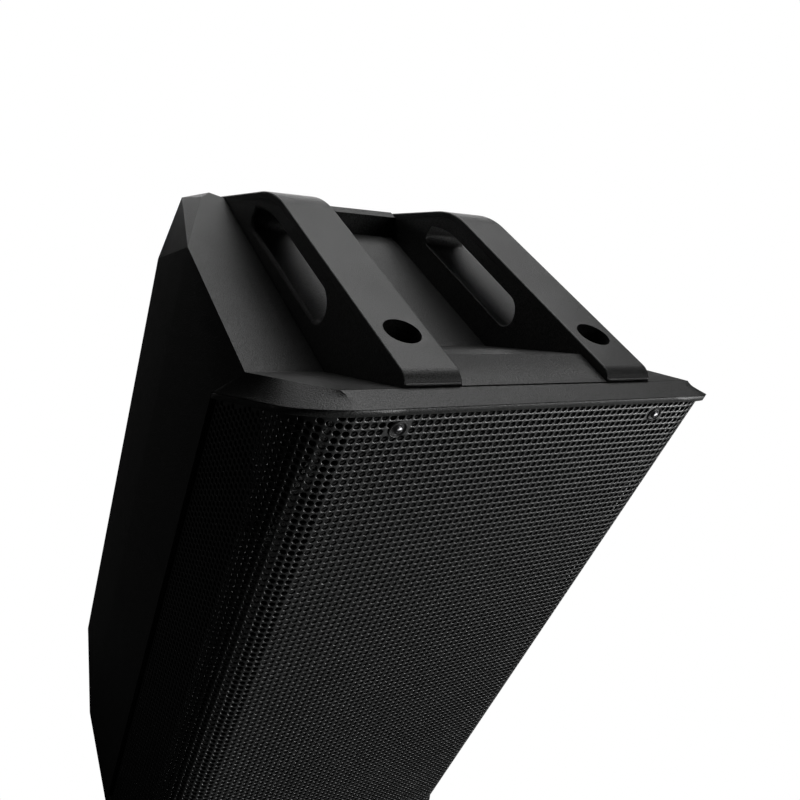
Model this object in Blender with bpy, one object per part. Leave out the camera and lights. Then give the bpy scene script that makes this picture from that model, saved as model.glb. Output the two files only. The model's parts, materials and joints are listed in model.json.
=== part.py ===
"""Line array loudspeaker: a 12 inch two-way arrayable cabinet, built as separate pieces.

Metres, +Z up. The grille faces -Y and the amplifier panel faces +Y. The origin is the middle of
the footprint, on the floor. Most places are given as depth behind the grille plane and as height
above the outer edge of the shoulders at the cabinet's top; at() turns them into points.
"""
import math

import bmesh
import bpy
from mathutils import Matrix, Vector

# Driving dimensions
HEIGHT = 0.700
TOP_ABOVE_SHOULDER = 0.0474
SHOULDER_Z = HEIGHT - TOP_ABOVE_SHOULDER
OVERALL_DEPTH = 0.378
RIM_OVERHANG = 0.0055
GRILLE_Y = -OVERALL_DEPTH / 2 + RIM_OVERHANG
GAP = 0.0003

# Plan of the cabinet, as half width and depth
SIDE_FRONT = (0.189, 0.125)
SIDE_BEND = (0.1849, 0.2397)
SIDE_REAR = (0.1645, 0.361)
INNER_FRONT = (0.1795, 0.0165)
INNER_CHAMFER = 0.012
BACK = SIDE_REAR[1]
WALL = 0.012
FOOT_HEIGHT = 0.012
BASE_Z = FOOT_HEIGHT

# Top of the cabinet: the shoulders fall inwards and rise a little to the back
SHOULDER_FALL = 0.249
SHOULDER_RISE = 0.030
SHOULDER_EDGE = 0.188
SHOULDER_START = 0.107
SHOULDER_ROOT = -0.100
FACET_INNER = (0.1422, 0.3444)
FACET_REAR = (0.1536, 0.361, -0.014)
FACET_FOOT = -0.079
BEVEL_X = 0.1296
CHEEK_REAR = (0.188, 0.085)
CHEEK_FOOT = -0.049
RIM_TOP = 0.0400
SEAM_TOP = 0.0380
SEAM_SLOPE = 0.696
RIM_BAND = 0.0065
RIM_SKIN = 0.0019
RIM_REAR = 0.0157
CROWN_X = 0.160
CROWN_STATION = 4
CREASE_END = (0.1874, 0.0806, 0.0031)
CREASE_SPREAD = 1.15
RIM_CENTRE = (0.149, 0.034)
RIM_RADIUS = 0.0395
SLOPE_TOP = 0.0396
SLOPE_FOOT = (0.1815, 0.0820)
POCKET_FLOOR = -0.0273
LEDGE_TOP = 0.0405
LEDGE_END = 0.051
VALLEY_START = 0.150
VALLEY_FLOOR = -0.0245
REAR_LIP = -0.0066

# Carrying handles
HANDLE_INNER = 0.0682
HANDLE_OUTER = 0.1139
HANDLE_FRONT = 0.0170
HANDLE_REAR = 0.3725
HANDLE_SLOPE = math.radians(30.4)
BEND_START = 0.2410
BEND_RADIUS = 0.0950
GRIP_THICK = 0.0060
GRIP_ROUND = 0.0014
GRIP_NOSE = 0.0065
SLOT_FRONT = 0.1345
SLOT_TOP = 0.0295
SLOT_BOTTOM = 0.0015
SLOT_CROWN = 0.114
RIG_HOLE_DEPTH = 0.068
RIG_HOLE_RADIUS = 0.01425
RIG_FLOOR = 0.0120

# Grille
GRILLE_HALF = 0.186
GRILLE_CORNER = 0.034
GRILLE_SHEET = 0.0015
GRILLE_RETURN = 0.120
GRILLE_TOP = 0.0365
GRILLE_BOTTOM_Z = 0.0325
SCREW_X = 0.1195
SCREW_TOP = 0.0201
SCREW_FROM_BOTTOM = 0.016
SCREW_BODY = 0.0025
SCREW_HOLE = 0.0029
FOAM_HALF_WIDTH = 0.150

# Drivers
WOOFER_Z = 0.196
WOOFER_HOLE = 0.140
BAFFLE_FRONT = 0.0200
BAFFLE_THICK = 0.0180
HORN_Z = 0.478
HORN_WIDTH = 0.110
HORN_HEIGHT = 0.230
HORN_FLANGE = 0.013
TWEETER_COUNT = 5
TWEETER_PITCH = 0.044

# Amplifier panel
AMP_Z = 0.370
AMP_HALF_WIDTH = 0.118
AMP_HALF_HEIGHT = 0.165
PANEL_FRONT = 0.3520
PANEL_REAR = 0.3560
THROUGH_PANEL = (0.3400, 0.3700)
KNOB_X = (-0.080, -0.045, -0.010)
KNOB_Z = AMP_Z + 0.115
SOCKET_X = (-0.075, -0.038, -0.001)
SOCKET_Z = AMP_Z + 0.060
BUTTON_X = 0.030
LED_X = 0.055
SWITCH_X = 0.080
SWITCH_Z = AMP_Z + 0.105
INLET_X = 0.080
INLET_Z = AMP_Z + 0.055

# Inside and underside
INSIDE_HALF = 0.167
INSIDE_FLOOR = BASE_Z + 0.018
INSIDE_TOP = SHOULDER_Z - 0.045
BRACE_Z = (0.3490, 0.3570)
BOARD_DEPTHS = (0.2800, 0.2816)
BOARD_HALF = 0.095
POLE_RADIUS = 0.0182
POLE_DEPTH = 0.0960
FOOT_PLACES = ((-0.150, 0.045), (0.150, 0.045), (-0.135, 0.325), (0.135, 0.325))


def at(x, depth, height):
    """A point from half-width, depth behind the grille and height above the shoulder edge."""
    return Vector((x, GRILLE_Y + depth, SHOULDER_Z + height))


def low(x, depth, z):
    """A point from half-width, depth behind the grille and height above the floor."""
    return Vector((x, GRILLE_Y + depth, z))


def shoulder(x, depth):
    """Height of the shoulder surface."""
    return SHOULDER_FALL * (abs(x) - SHOULDER_EDGE) + SHOULDER_RISE * (depth - CHEEK_REAR[1])


def seam(depth):
    """Height of the sloping seam between rim and grille."""
    return SEAM_TOP - SEAM_SLOPE * depth


# Materials

def make_material(name, colour, roughness, metallic=0.0):
    made = bpy.data.materials.new(name)
    made.use_nodes = True
    shader = made.node_tree.nodes["Principled BSDF"]
    shader.inputs["Base Color"].default_value = (*colour, 1.0)
    shader.inputs["Roughness"].default_value = roughness
    shader.inputs["Metallic"].default_value = metallic
    made.diffuse_color = (*colour, 1.0)
    return made


# Mesh helpers

def add_object(name, mesh_maker, material, smooth_angle=30.0):
    """Turn a bmesh into a named object at the world origin."""
    bmesh.ops.recalc_face_normals(mesh_maker, faces=mesh_maker.faces)
    mesh = bpy.data.meshes.new(name)
    mesh_maker.to_mesh(mesh)
    mesh_maker.free()
    made = bpy.data.objects.new(name, mesh)
    bpy.context.scene.collection.objects.link(made)
    if material is not None:
        mesh.materials.append(material)
    if smooth_angle:
        mesh.shade_smooth()
        mesh.set_sharp_from_angle(angle=math.radians(smooth_angle))
    return made


def prism(bottom, top):
    """Closed solid between two matching loops of points."""
    bm = bmesh.new()
    lower = [bm.verts.new(point) for point in bottom]
    upper = [bm.verts.new(point) for point in top]
    bm.faces.new(lower[::-1])
    bm.faces.new(upper)
    for index in range(len(lower)):
        following = (index + 1) % len(lower)
        bm.faces.new((lower[index], lower[following], upper[following], upper[index]))
    return bm


def hull(points):
    """Convex solid around a set of points."""
    bm = bmesh.new()
    for point in points:
        bm.verts.new(point)
    result = bmesh.ops.convex_hull(bm, input=bm.verts)
    loose = [item for item in result["geom_interior"] if isinstance(item, bmesh.types.BMVert)]
    bmesh.ops.delete(bm, geom=loose, context="VERTS")
    bmesh.ops.dissolve_limit(bm, angle_limit=math.radians(0.1), verts=bm.verts, edges=bm.edges)
    return bm


def block(x_range, depth_range, z_range):
    """Box between two x values, two depths and two heights above the floor."""
    plan = [(x_range[0], depth_range[0]), (x_range[1], depth_range[0]),
            (x_range[1], depth_range[1]), (x_range[0], depth_range[1])]
    return prism([low(x, d, z_range[0]) for x, d in plan], [low(x, d, z_range[1]) for x, d in plan])


def turned(profile, centre, axis="Y", steps=24, closed=True):
    """Solid of revolution. Profile points are (radius, distance along the axis).

    A closed profile makes a ring; an open one starts and ends on the axis.
    """
    bm = bmesh.new()
    rings = []
    for radius, along in profile:
        if radius == 0.0:
            rings.append([bm.verts.new((0, 0, along))])
            continue
        ring = []
        for step in range(steps):
            angle = 2 * math.pi * step / steps
            ring.append(bm.verts.new((radius * math.cos(angle), radius * math.sin(angle), along)))
        rings.append(ring)
    pairs = list(zip(rings, rings[1:]))
    if closed:
        pairs.append((rings[-1], rings[0]))
    for first, second in pairs:
        for step in range(steps):
            following = (step + 1) % steps
            corners = [first[step % len(first)], first[following % len(first)],
                       second[following % len(second)], second[step % len(second)]]
            unique = list(dict.fromkeys(corners))
            bm.faces.new(unique)
    if axis == "Y":
        bmesh.ops.rotate(bm, verts=bm.verts, matrix=Matrix.Rotation(math.radians(-90), 3, "X"))
    bmesh.ops.translate(bm, verts=bm.verts, vec=centre)
    return bm


def rod(radius, start, end, centre, axis="Y", steps=24):
    """Plain cylinder between two distances along the axis."""
    profile = [(0.0, start), (radius, start), (radius, end), (0.0, end)]
    return turned(profile, centre, axis, steps, closed=False)


def combine(target, tool_mesh, operation, label):
    """Cut a hidden tool from an object, or join it on."""
    tool = add_object("tool_" + label, tool_mesh, None, 0)
    tool.hide_render = True
    tool.display_type = "WIRE"
    step = target.modifiers.new(label, "BOOLEAN")
    step.operation = operation
    step.solver = "EXACT"
    step.object = tool


def cut(target, tool_mesh, label):
    combine(target, tool_mesh, "DIFFERENCE", label)


def join(target, tool_mesh, label):
    combine(target, tool_mesh, "UNION", label)


def arc(centre, radius, start, end, steps):
    """Points of an arc, angles in degrees."""
    points = []
    for step in range(steps + 1):
        angle = math.radians(start + (end - start) * step / steps)
        points.append((centre[0] + radius * math.cos(angle), centre[1] + radius * math.sin(angle)))
    return points


def both_sides(points):
    """A half outline from front to back, completed with its mirror image."""
    return list(points) + [(-x, d) for x, d in reversed(points)]


# Cabinet

def shoulder_block(side):
    """One shoulder as a convex solid, from the cheek back to the rear corner facet."""
    inner = HANDLE_OUTER + GAP
    points = [(*CHEEK_REAR, 0.0), (*SIDE_FRONT, CHEEK_FOOT)]
    points += [(*SIDE_BEND, shoulder(*SIDE_BEND)), (*SIDE_BEND, SHOULDER_ROOT)]
    points += [(*FACET_INNER, shoulder(*FACET_INNER))]
    points += [(*SIDE_REAR, FACET_FOOT), FACET_REAR, (*SIDE_REAR, SHOULDER_ROOT)]
    points += [(BEVEL_X, BACK, shoulder(BEVEL_X, BACK))]
    for depth in (BACK, SHOULDER_START):
        points += [(inner, depth, shoulder(inner, depth)), (inner, depth, SHOULDER_ROOT)]
    return hull([at(side * x, d, h) for x, d, h in points])


def side_fill(side):
    """The stretch of side wall below the cheek."""
    inner = HANDLE_OUTER + GAP
    plan = [(inner, SIDE_FRONT[1]), SIDE_FRONT, SIDE_BEND, (inner, SIDE_BEND[1])]
    return prism([at(side * x, d, SHOULDER_ROOT) for x, d in plan],
                 [at(side * x, d, CHEEK_FOOT) for x, d in plan])


def front_slope(side):
    """The steep slope from the crown of the rim back down to the shoulder."""
    inner = HANDLE_OUTER + GAP
    sunk = 0.0002
    root = -0.095
    top = [(inner, INNER_FRONT[1], SLOPE_TOP), (0.1555, INNER_FRONT[1], SLOPE_TOP)]
    foot = [(*SLOPE_FOOT, shoulder(*SLOPE_FOOT) - sunk),
            (inner, SHOULDER_START, shoulder(inner, SHOULDER_START) - sunk)]
    base = [(inner, INNER_FRONT[1]), (0.1760, INNER_FRONT[1]), (0.1790, SLOPE_FOOT[1]), (0.1790, 0.124),
            (inner, 0.124)]
    points = [at(side * x, d, h) for x, d, h in top + foot]
    points += [at(side * x, d, root) for x, d in base]
    return hull(points)


def centre_block():
    """Ledge, slope, valley floor and rear lip between the handles."""
    root = POCKET_FLOOR - 0.02
    side = [(INNER_FRONT[1], root), (INNER_FRONT[1], LEDGE_TOP), (LEDGE_END, LEDGE_TOP),
            (VALLEY_START, VALLEY_FLOOR), (0.343, VALLEY_FLOOR - 0.0015), (0.350, REAR_LIP),
            (BACK, REAR_LIP), (BACK, root)]
    half = HANDLE_INNER - GAP
    return prism([at(-half, d, h) for d, h in side], [at(half, d, h) for d, h in side])


def make_cabinet(material):
    plan = both_sides([(INNER_FRONT[0] - INNER_CHAMFER, INNER_FRONT[1]),
                       (INNER_FRONT[0], INNER_FRONT[1] + INNER_CHAMFER),
                       (INNER_FRONT[0], SIDE_FRONT[1]), SIDE_FRONT, SIDE_BEND, SIDE_REAR])
    roof = SHOULDER_Z - 0.085
    body = prism([low(x, d, BASE_Z) for x, d in plan], [low(x, d, roof) for x, d in plan])
    cabinet = add_object("cabinet_housing", body, material)
    inner = HANDLE_OUTER + GAP
    middle = block((-inner, inner), (INNER_FRONT[1], BACK), (roof - 0.02, SHOULDER_Z + POCKET_FLOOR))
    join(cabinet, middle, "handle_bed")
    for side, word in ((-1, "left"), (1, "right")):
        join(cabinet, shoulder_block(side), "shoulder_" + word)
        join(cabinet, side_fill(side), "side_" + word)
        join(cabinet, front_slope(side), "slope_" + word)
    join(cabinet, centre_block(), "centre")
    cavity_plan = both_sides([(INSIDE_HALF, 0.0), (INSIDE_HALF, 0.200),
                              (SIDE_REAR[0] - WALL - 0.002, BACK - WALL)])
    cavity = prism([low(x, d, INSIDE_FLOOR) for x, d in cavity_plan],
                   [low(x, d, INSIDE_TOP) for x, d in cavity_plan])
    cut(cabinet, cavity, "cavity")
    opening = block((-AMP_HALF_WIDTH, AMP_HALF_WIDTH), (BACK - 0.03, BACK + 0.02),
                    (AMP_Z - AMP_HALF_HEIGHT, AMP_Z + AMP_HALF_HEIGHT))
    cut(cabinet, opening, "amp_opening")
    cut(cabinet, rod(0.0245, -0.02, 0.04, Vector((0, 0, BASE_Z)), "Z", 32), "pole_hole")


# Rim round the top of the grille

def rim_lines():
    """Crease, seam and hem points of the rim for x >= 0, from the middle to the cheek's end."""
    outline = [(0.0, -RIM_OVERHANG), (0.060, -RIM_OVERHANG), (0.120, -RIM_OVERHANG)]
    outline += arc(RIM_CENTRE, RIM_RADIUS, -90, -3, 8)
    outline += [(0.1888, 0.050), (0.1889, 0.086), (0.1890, 0.1202)]
    crown = Vector((CROWN_X, RIM_REAR, RIM_TOP))
    beyond = len(outline) - 1 - CROWN_STATION
    crease = []
    for index in range(len(outline)):
        if index < CROWN_STATION:
            crease.append(Vector((CROWN_X * index / CROWN_STATION, RIM_REAR, RIM_TOP)))
        else:
            share = ((index - CROWN_STATION) / beyond) ** CREASE_SPREAD
            crease.append(crown.lerp(Vector(CREASE_END), share))
    seam_line = [Vector((x, d, seam(d))) for x, d in outline]
    hem = [point - Vector((0, 0, RIM_BAND)) for point in seam_line]
    return crease, seam_line, hem


def make_rim(material):
    """Front and side rim as one bent skin with an even thickness."""
    bm = bmesh.new()
    grid = []
    for line in rim_lines():
        full = [(-x, d, h) for x, d, h in reversed(line[1:])] + list(line)
        grid.append([bm.verts.new(at(*point)) for point in full])
    for upper, lower in zip(grid, grid[1:]):
        for index in range(len(upper) - 1):
            bm.faces.new((upper[index], lower[index], lower[index + 1], upper[index + 1]))
    rim = add_object("top_rim", bm, material)
    skin = rim.modifiers.new("skin", "SOLIDIFY")
    skin.thickness = RIM_SKIN
    skin.offset = -1.0
    skin.use_even_offset = True


def make_base_rim(material):
    """Lower rim that the grille stands on."""
    rear = SIDE_FRONT[1] - GAP
    inner_half = INNER_FRONT[0] + GAP
    inner_front = INNER_FRONT[1] - GAP
    outer = [(0.0, -RIM_OVERHANG)] + arc(RIM_CENTRE, RIM_RADIUS, -90, 0, 6) + [(0.1888, rear)]
    inner = [(inner_half, rear), (inner_half, inner_front), (0.0, inner_front)]
    half = outer[1:] + inner[:-1]
    loop = half + [(-x, d) for x, d in reversed(half)]
    top = GRILLE_BOTTOM_Z - GAP
    made = prism([low(x, d, BASE_Z) for x, d in loop], [low(x, d, top) for x, d in loop])
    add_object("base_rim", made, material)


# Grille

def grille_plan():
    """Outer then inner line of the bent sheet, seen from above, for x >= 0 from the middle."""
    centre = (GRILLE_HALF - GRILLE_CORNER, GRILLE_CORNER)
    outer = [(0.0, 0.0)] + arc(centre, GRILLE_CORNER, -90, 0, 8) + [(GRILLE_HALF, GRILLE_RETURN)]
    inner_radius = GRILLE_CORNER - GRILLE_SHEET
    inner = [(0.0, GRILLE_SHEET)] + arc(centre, inner_radius, -90, 0, 8)
    inner += [(GRILLE_HALF - GRILLE_SHEET, GRILLE_RETURN)]
    return outer, inner


def make_grille(material):
    outer, inner = grille_plan()
    half = outer[1:] + inner[:0:-1]
    loop = half + [(-x, d) for x, d in reversed(half)]
    top = SHOULDER_Z + 0.05
    sheet = prism([low(x, d, GRILLE_BOTTOM_Z) for x, d in loop], [low(x, d, top) for x, d in loop])
    edge = at(0, 0, GRILLE_TOP)
    normal = Vector((0, SEAM_SLOPE, 1)).normalized()
    everything = sheet.verts[:] + sheet.edges[:] + sheet.faces[:]
    result = bmesh.ops.bisect_plane(sheet, geom=everything, plane_co=edge, plane_no=normal,
                                    clear_outer=True)
    cut_edges = [item for item in result["geom_cut"] if isinstance(item, bmesh.types.BMEdge)]
    bmesh.ops.edgeloop_fill(sheet, edges=cut_edges)
    grille = add_object("grille", sheet, material)
    for index, (x, z) in enumerate(screw_places()):
        hole = rod(SCREW_HOLE, -0.01, 0.01, low(x, 0, z), "Y", 12)
        cut(grille, hole, "screw_hole_" + str(index + 1))


def screw_places():
    top = SHOULDER_Z + SCREW_TOP
    bottom = GRILLE_BOTTOM_Z + SCREW_FROM_BOTTOM
    return [(-SCREW_X, top), (SCREW_X, top), (-SCREW_X, bottom), (SCREW_X, bottom)]


def make_screws(material):
    head = [(0.0, -0.0029), (0.0022, -0.0028), (0.0036, -0.0019), (0.0042, -0.0007),
            (0.0042, -GAP), (SCREW_BODY, -GAP), (SCREW_BODY, 0.0034), (0.0, 0.0034)]
    for index, (x, z) in enumerate(screw_places()):
        made = turned(head, low(x, 0, z), "Y", 14, closed=False)
        add_object("grille_screw_" + str(index + 1), made, material)


def make_foam(material):
    foam = block((-FOAM_HALF_WIDTH, FOAM_HALF_WIDTH), (0.0042, 0.0072),
                 (GRILLE_BOTTOM_Z + 0.020, SHOULDER_Z + 0.028))
    add_object("grille_foam", foam, material)


# Handles

def bend_line(inset):
    """Side line of the handle's top behind its flat front part, moved inwards by inset."""
    reach = BEND_RADIUS - inset
    centre_height = TOP_ABOVE_SHOULDER - BEND_RADIUS
    points = []
    for step in range(5):
        angle = HANDLE_SLOPE * step / 4
        points.append((BEND_START + reach * math.sin(angle), centre_height + reach * math.cos(angle)))
    depth, height = points[-1]
    points.append((HANDLE_REAR, height - (HANDLE_REAR - depth) * math.tan(HANDLE_SLOPE)))
    return points


def hand_slot_outline():
    """Side outline of the hand slot: round front end, rear end following the handle's slope."""
    radius = (SLOT_TOP - SLOT_BOTTOM) / 2
    front = arc((SLOT_FRONT + radius, SLOT_BOTTOM + radius), radius, 90, 270, 10)
    rear_low = arc((0.2830, SLOT_BOTTOM + 0.0060), 0.0080, -90, 30, 5)
    rear_top = arc((0.2390, SLOT_TOP - SLOT_CROWN), SLOT_CROWN, 64, 90, 6)
    return front + [(0.2200, SLOT_BOTTOM - 0.0006)] + rear_low + rear_top


def grip_section(thick):
    """Outline across the grip, as x and drop below its top, with rounded upper edges."""
    rounding = min(GRIP_ROUND, thick * 0.8)
    points = [(HANDLE_INNER, thick), (HANDLE_INNER, rounding)]
    for step in range(1, 4):
        angle = math.radians(90 * step / 4)
        points.append((HANDLE_INNER + rounding * (1 - math.cos(angle)), rounding * (1 - math.sin(angle))))
    points.append((HANDLE_INNER + rounding, 0.0))
    mirrored = [(HANDLE_INNER + HANDLE_OUTER - x, drop) for x, drop in reversed(points)]
    return points + mirrored


def grip_mesh(side):
    """The grip cover: a slab with rounded shoulders and nose that follows the handle's top."""
    nose = arc((HANDLE_FRONT + GRIP_NOSE, TOP_ABOVE_SHOULDER - GRIP_NOSE), GRIP_NOSE, 170, 90, 3)
    front_foot = (HANDLE_FRONT, TOP_ABOVE_SHOULDER - GRIP_THICK)
    upper_line = nose + bend_line(0.0)
    lower_line = [front_foot] * len(nose) + bend_line(GRIP_THICK)
    bm = bmesh.new()
    rings = []
    for upper, lower in zip(upper_line, lower_line):
        upper = Vector(upper)
        fall = Vector(lower) - upper
        down = fall.normalized()
        ring = []
        for x, drop in grip_section(fall.length):
            place = upper + down * drop
            ring.append(bm.verts.new(at(side * x, place.x, place.y)))
        rings.append(ring)
    for first, second in zip(rings, rings[1:]):
        for index in range(len(first)):
            following = (index + 1) % len(first)
            bm.faces.new((first[index], first[following], second[following], second[index]))
    bm.faces.new(rings[0])
    bm.faces.new(rings[-1][::-1])
    bmesh.ops.remove_doubles(bm, verts=bm.verts, dist=0.00005)
    return bm


def make_handle(side, word, plastic, grip_material, metal):
    """One handle with its hand slot, grip cover, rigging bore and threaded insert."""
    floor = POCKET_FLOOR + GAP
    crest = TOP_ABOVE_SHOULDER - GRIP_THICK - GAP
    outline = [(HANDLE_FRONT, floor), (HANDLE_FRONT, crest)]
    outline += bend_line(GRIP_THICK + GAP) + [(HANDLE_REAR, floor)]
    fin = prism([at(side * HANDLE_INNER, d, h) for d, h in outline],
                [at(side * HANDLE_OUTER, d, h) for d, h in outline])
    handle = add_object("handle_" + word, fin, plastic)
    beyond = 0.02
    slot = hand_slot_outline()
    through = prism([at(side * (HANDLE_INNER - beyond), d, h) for d, h in slot],
                    [at(side * (HANDLE_OUTER + beyond), d, h) for d, h in slot])
    cut(handle, through, "hand_slot_" + word)
    place = at(side * (HANDLE_INNER + HANDLE_OUTER) / 2, RIG_HOLE_DEPTH, 0)
    cut(handle, rod(RIG_HOLE_RADIUS, RIG_FLOOR, 0.08, place, "Z", 28), "rig_bore_" + word)
    cover = add_object("grip_cover_" + word, grip_mesh(side), grip_material)
    cut(cover, rod(RIG_HOLE_RADIUS, 0.0, 0.08, place, "Z", 28), "grip_hole_" + word)
    base = RIG_FLOOR + GAP
    bush = [(0.0056, base), (0.0136, base), (0.0136, RIG_FLOOR + 0.004), (0.0090, RIG_FLOOR + 0.004),
            (0.0090, RIG_FLOOR + 0.009), (0.0056, RIG_FLOOR + 0.009)]
    add_object("rigging_insert_" + word, turned(bush, place, "Z", 20), metal)


# Baffle and drivers

def make_baffle(material):
    half = INSIDE_HALF - GAP
    board = block((-half, half), (BAFFLE_FRONT, BAFFLE_FRONT + BAFFLE_THICK),
                  (INSIDE_FLOOR + GAP, INSIDE_TOP - GAP))
    baffle = add_object("front_baffle", board, material)
    hole = rod(WOOFER_HOLE, -0.05, 0.08, low(0, BAFFLE_FRONT, WOOFER_Z), "Y", 40)
    cut(baffle, hole, "woofer_hole")
    horn = block((-HORN_WIDTH / 2, HORN_WIDTH / 2), (0.0, 0.06),
                 (HORN_Z - HORN_HEIGHT / 2, HORN_Z + HORN_HEIGHT / 2))
    cut(baffle, horn, "horn_opening")


def half_roll(half_width, depth):
    """Half roll of the surround, from its outer to its inner foot."""
    middle = 0.12255
    rise = 0.0078
    points = []
    for step in range(7):
        angle = math.pi * step / 6
        points.append((middle + half_width * math.cos(angle), depth - rise * math.sin(angle)))
    return points


def make_woofer(frame, black, paper, rubber, magnet_material, copper):
    """The woofer: frame, surround, moving cone with dust cap and coil, magnet and pole piece."""
    centre = low(0, 0, WOOFER_Z)
    basket = [(0.1560, 0.0155), (0.1560, BAFFLE_FRONT - GAP), (0.1392, BAFFLE_FRONT - GAP),
              (0.1370, 0.0450), (0.0850, 0.1050), (0.0850, 0.1180), (0.0480, 0.1180),
              (0.0480, 0.1145), (0.0810, 0.1145), (0.0810, 0.1035), (0.1325, 0.0440),
              (0.1340, 0.0185), (0.1340, 0.0155)]
    add_object("woofer_basket", turned(basket, centre, "Y", 36), frame)
    front_roll = half_roll(0.0070, 0.0172)
    rear_roll = half_roll(0.0058, 0.0184)[::-1]
    surround = [(0.1336, 0.0172)] + front_roll + [(0.1128, 0.0172), (0.1128, 0.0184)]
    surround += rear_roll + [(0.1336, 0.0184)]
    add_object("woofer_surround", turned(surround, centre, "Y", 36), rubber)
    cone = [(0.1122, 0.0195), (0.1122, 0.0208), (0.0255, 0.0715), (0.0255, 0.0695), (0.0262, 0.0688)]
    parts = [add_object("woofer_cone", turned(cone, centre, "Y", 36), paper)]
    dome = [(0.0, 0.0440), (0.0160, 0.0455), (0.0310, 0.0500), (0.0430, 0.0575),
            (0.0420, 0.0583), (0.0300, 0.0510), (0.0155, 0.0466), (0.0, 0.0452)]
    parts.append(add_object("dust_cap", turned(dome, centre, "Y", 24, closed=False), black))
    coil = [(0.0243, 0.0700), (0.0251, 0.0700), (0.0251, 0.1240), (0.0243, 0.1240)]
    parts.append(add_object("voice_coil", turned(coil, centre, "Y", 24), copper))
    hold_on_axis("woofer_axis", centre, parts)
    magnet = [(0.0275, 0.1183), (0.0760, 0.1183), (0.0760, 0.1500), (0.0275, 0.1500)]
    add_object("woofer_magnet", turned(magnet, centre, "Y", 28), magnet_material)
    pole = [(0.0, 0.1190), (0.0225, 0.1190), (0.0225, 0.1503), (0.0700, 0.1503), (0.0700, 0.1580),
            (0.0, 0.1580)]
    add_object("woofer_pole_piece", turned(pole, centre, "Y", 28, closed=False), frame)


def make_horn(black, dome_material):
    """Waveguide plate with a vertical line of throats, and the tweeters behind it."""
    rear = BAFFLE_FRONT - GAP
    half_width = HORN_WIDTH / 2 + HORN_FLANGE
    half_height = HORN_HEIGHT / 2 + 0.0095
    plate = add_object("waveguide", block((-half_width, half_width), (0.0120, rear),
                                          (HORN_Z - half_height, HORN_Z + half_height)), black)
    flare = [(0.0, 0.008), (0.0212, 0.008), (0.0204, 0.0121), (0.0140, rear + 0.001), (0.0, rear + 0.001)]
    body = [(0.0, 0.0150), (0.0070, 0.0160), (0.0120, 0.0193), (0.0132, 0.0200), (0.0205, 0.0200),
            (0.0205, 0.0245), (0.0170, 0.0250), (0.0170, 0.0480), (0.0, 0.0480)]
    for index in range(TWEETER_COUNT):
        centre = low(0, 0, HORN_Z + (index - (TWEETER_COUNT - 1) / 2) * TWEETER_PITCH)
        cut(plate, turned(flare, centre, "Y", 20, closed=False), "throat_" + str(index + 1))
        made = turned(body, centre, "Y", 18, closed=False)
        add_object("tweeter_" + str(index + 1), made, dome_material)


def hold_on_axis(name, place, pieces):
    """Give moving pieces a parent empty on their joint's axis."""
    empty = bpy.data.objects.new(name, None)
    bpy.context.scene.collection.objects.link(empty)
    empty.location = place
    for piece in pieces:
        piece.parent = empty
        piece.matrix_parent_inverse = Matrix.Translation(-Vector(place))


# Rear panel and electronics

def make_amplifier(panel_material, plastic, metal, board, red, dark_metal):
    """The amplifier panel with its controls, sockets, heatsink and the electronics behind it."""
    half = AMP_HALF_WIDTH - GAP
    half_height = AMP_HALF_HEIGHT - GAP
    plate = block((-half, half), (PANEL_FRONT, PANEL_REAR), (AMP_Z - half_height, AMP_Z + half_height))
    panel = add_object("amp_panel", plate, panel_material)
    for index, x in enumerate(KNOB_X):
        centre = low(x, 0, KNOB_Z)
        cut(panel, rod(0.0036, *THROUGH_PANEL, centre, "Y", 12), "shaft_hole_" + str(index + 1))
        make_knob("level_knob_" + str(index + 1), centre, plastic)
    for name, x in zip(("input_socket_a", "input_socket_b", "link_socket"), SOCKET_X):
        make_socket(panel, name, low(x, 0, SOCKET_Z), plastic)
    make_button(panel, plastic)
    make_switch(panel, red, plastic)
    make_inlet(panel, plastic)
    make_heatsink(dark_metal)
    make_electronics(board, metal)
    foot = PANEL_REAR + GAP
    lens = [(0.0, foot), (0.0024, foot), (0.0024, 0.3572), (0.0, 0.3580)]
    add_object("status_led", turned(lens, low(LED_X, 0, KNOB_Z), "Y", 12, closed=False), red)


def make_socket(panel, name, centre, plastic):
    """A round signal socket: a cup with a flange, set in a hole of the panel."""
    cut(panel, rod(0.0118, *THROUGH_PANEL, centre), "hole_" + name)
    flange = PANEL_REAR + GAP
    cup = [(0.0, 0.3420), (0.0115, 0.3420), (0.0115, flange), (0.0145, flange), (0.0145, 0.3580),
           (0.0095, 0.3580), (0.0095, 0.3445), (0.0, 0.3445)]
    add_object(name, turned(cup, centre, "Y", 24, closed=False), plastic)


def make_knob(name, centre, material):
    """A control knob with its shaft and a pointer notch, its origin on the shaft's axis."""
    foot = PANEL_REAR + 0.0006
    profile = [(0.0, 0.3480 - foot), (0.0030, 0.3480 - foot), (0.0030, 0.0), (0.0092, 0.0),
               (0.0084, 0.0094), (0.0074, 0.0124), (0.0, 0.0124)]
    knob = add_object(name, turned(profile, Vector((0, 0, 0)), "Y", 18, closed=False), material)
    knob.location = centre + Vector((0, foot, 0))
    notch = block((-0.0006, 0.0006), (0.0, 0.002), (0.003, 0.012))
    bmesh.ops.translate(notch, verts=notch.verts, vec=(0, -GRILLE_Y + 0.0115, 0))
    cut(knob, notch, "pointer_" + name)
    knob.modifiers["pointer_" + name].object.location = knob.location


def make_button(panel, material):
    centre = low(BUTTON_X, 0, SOCKET_Z)
    cut(panel, rod(0.0050, *THROUGH_PANEL, centre, "Y", 16), "button_hole")
    profile = [(0.0, 0.0), (0.0046, 0.0), (0.0046, 0.0115), (0.0040, 0.0122), (0.0, 0.0125)]
    button = add_object("mode_button", turned(profile, Vector((0, 0, 0)), "Y", 16, closed=False), material)
    button.location = centre + Vector((0, 0.3480, 0))


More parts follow.
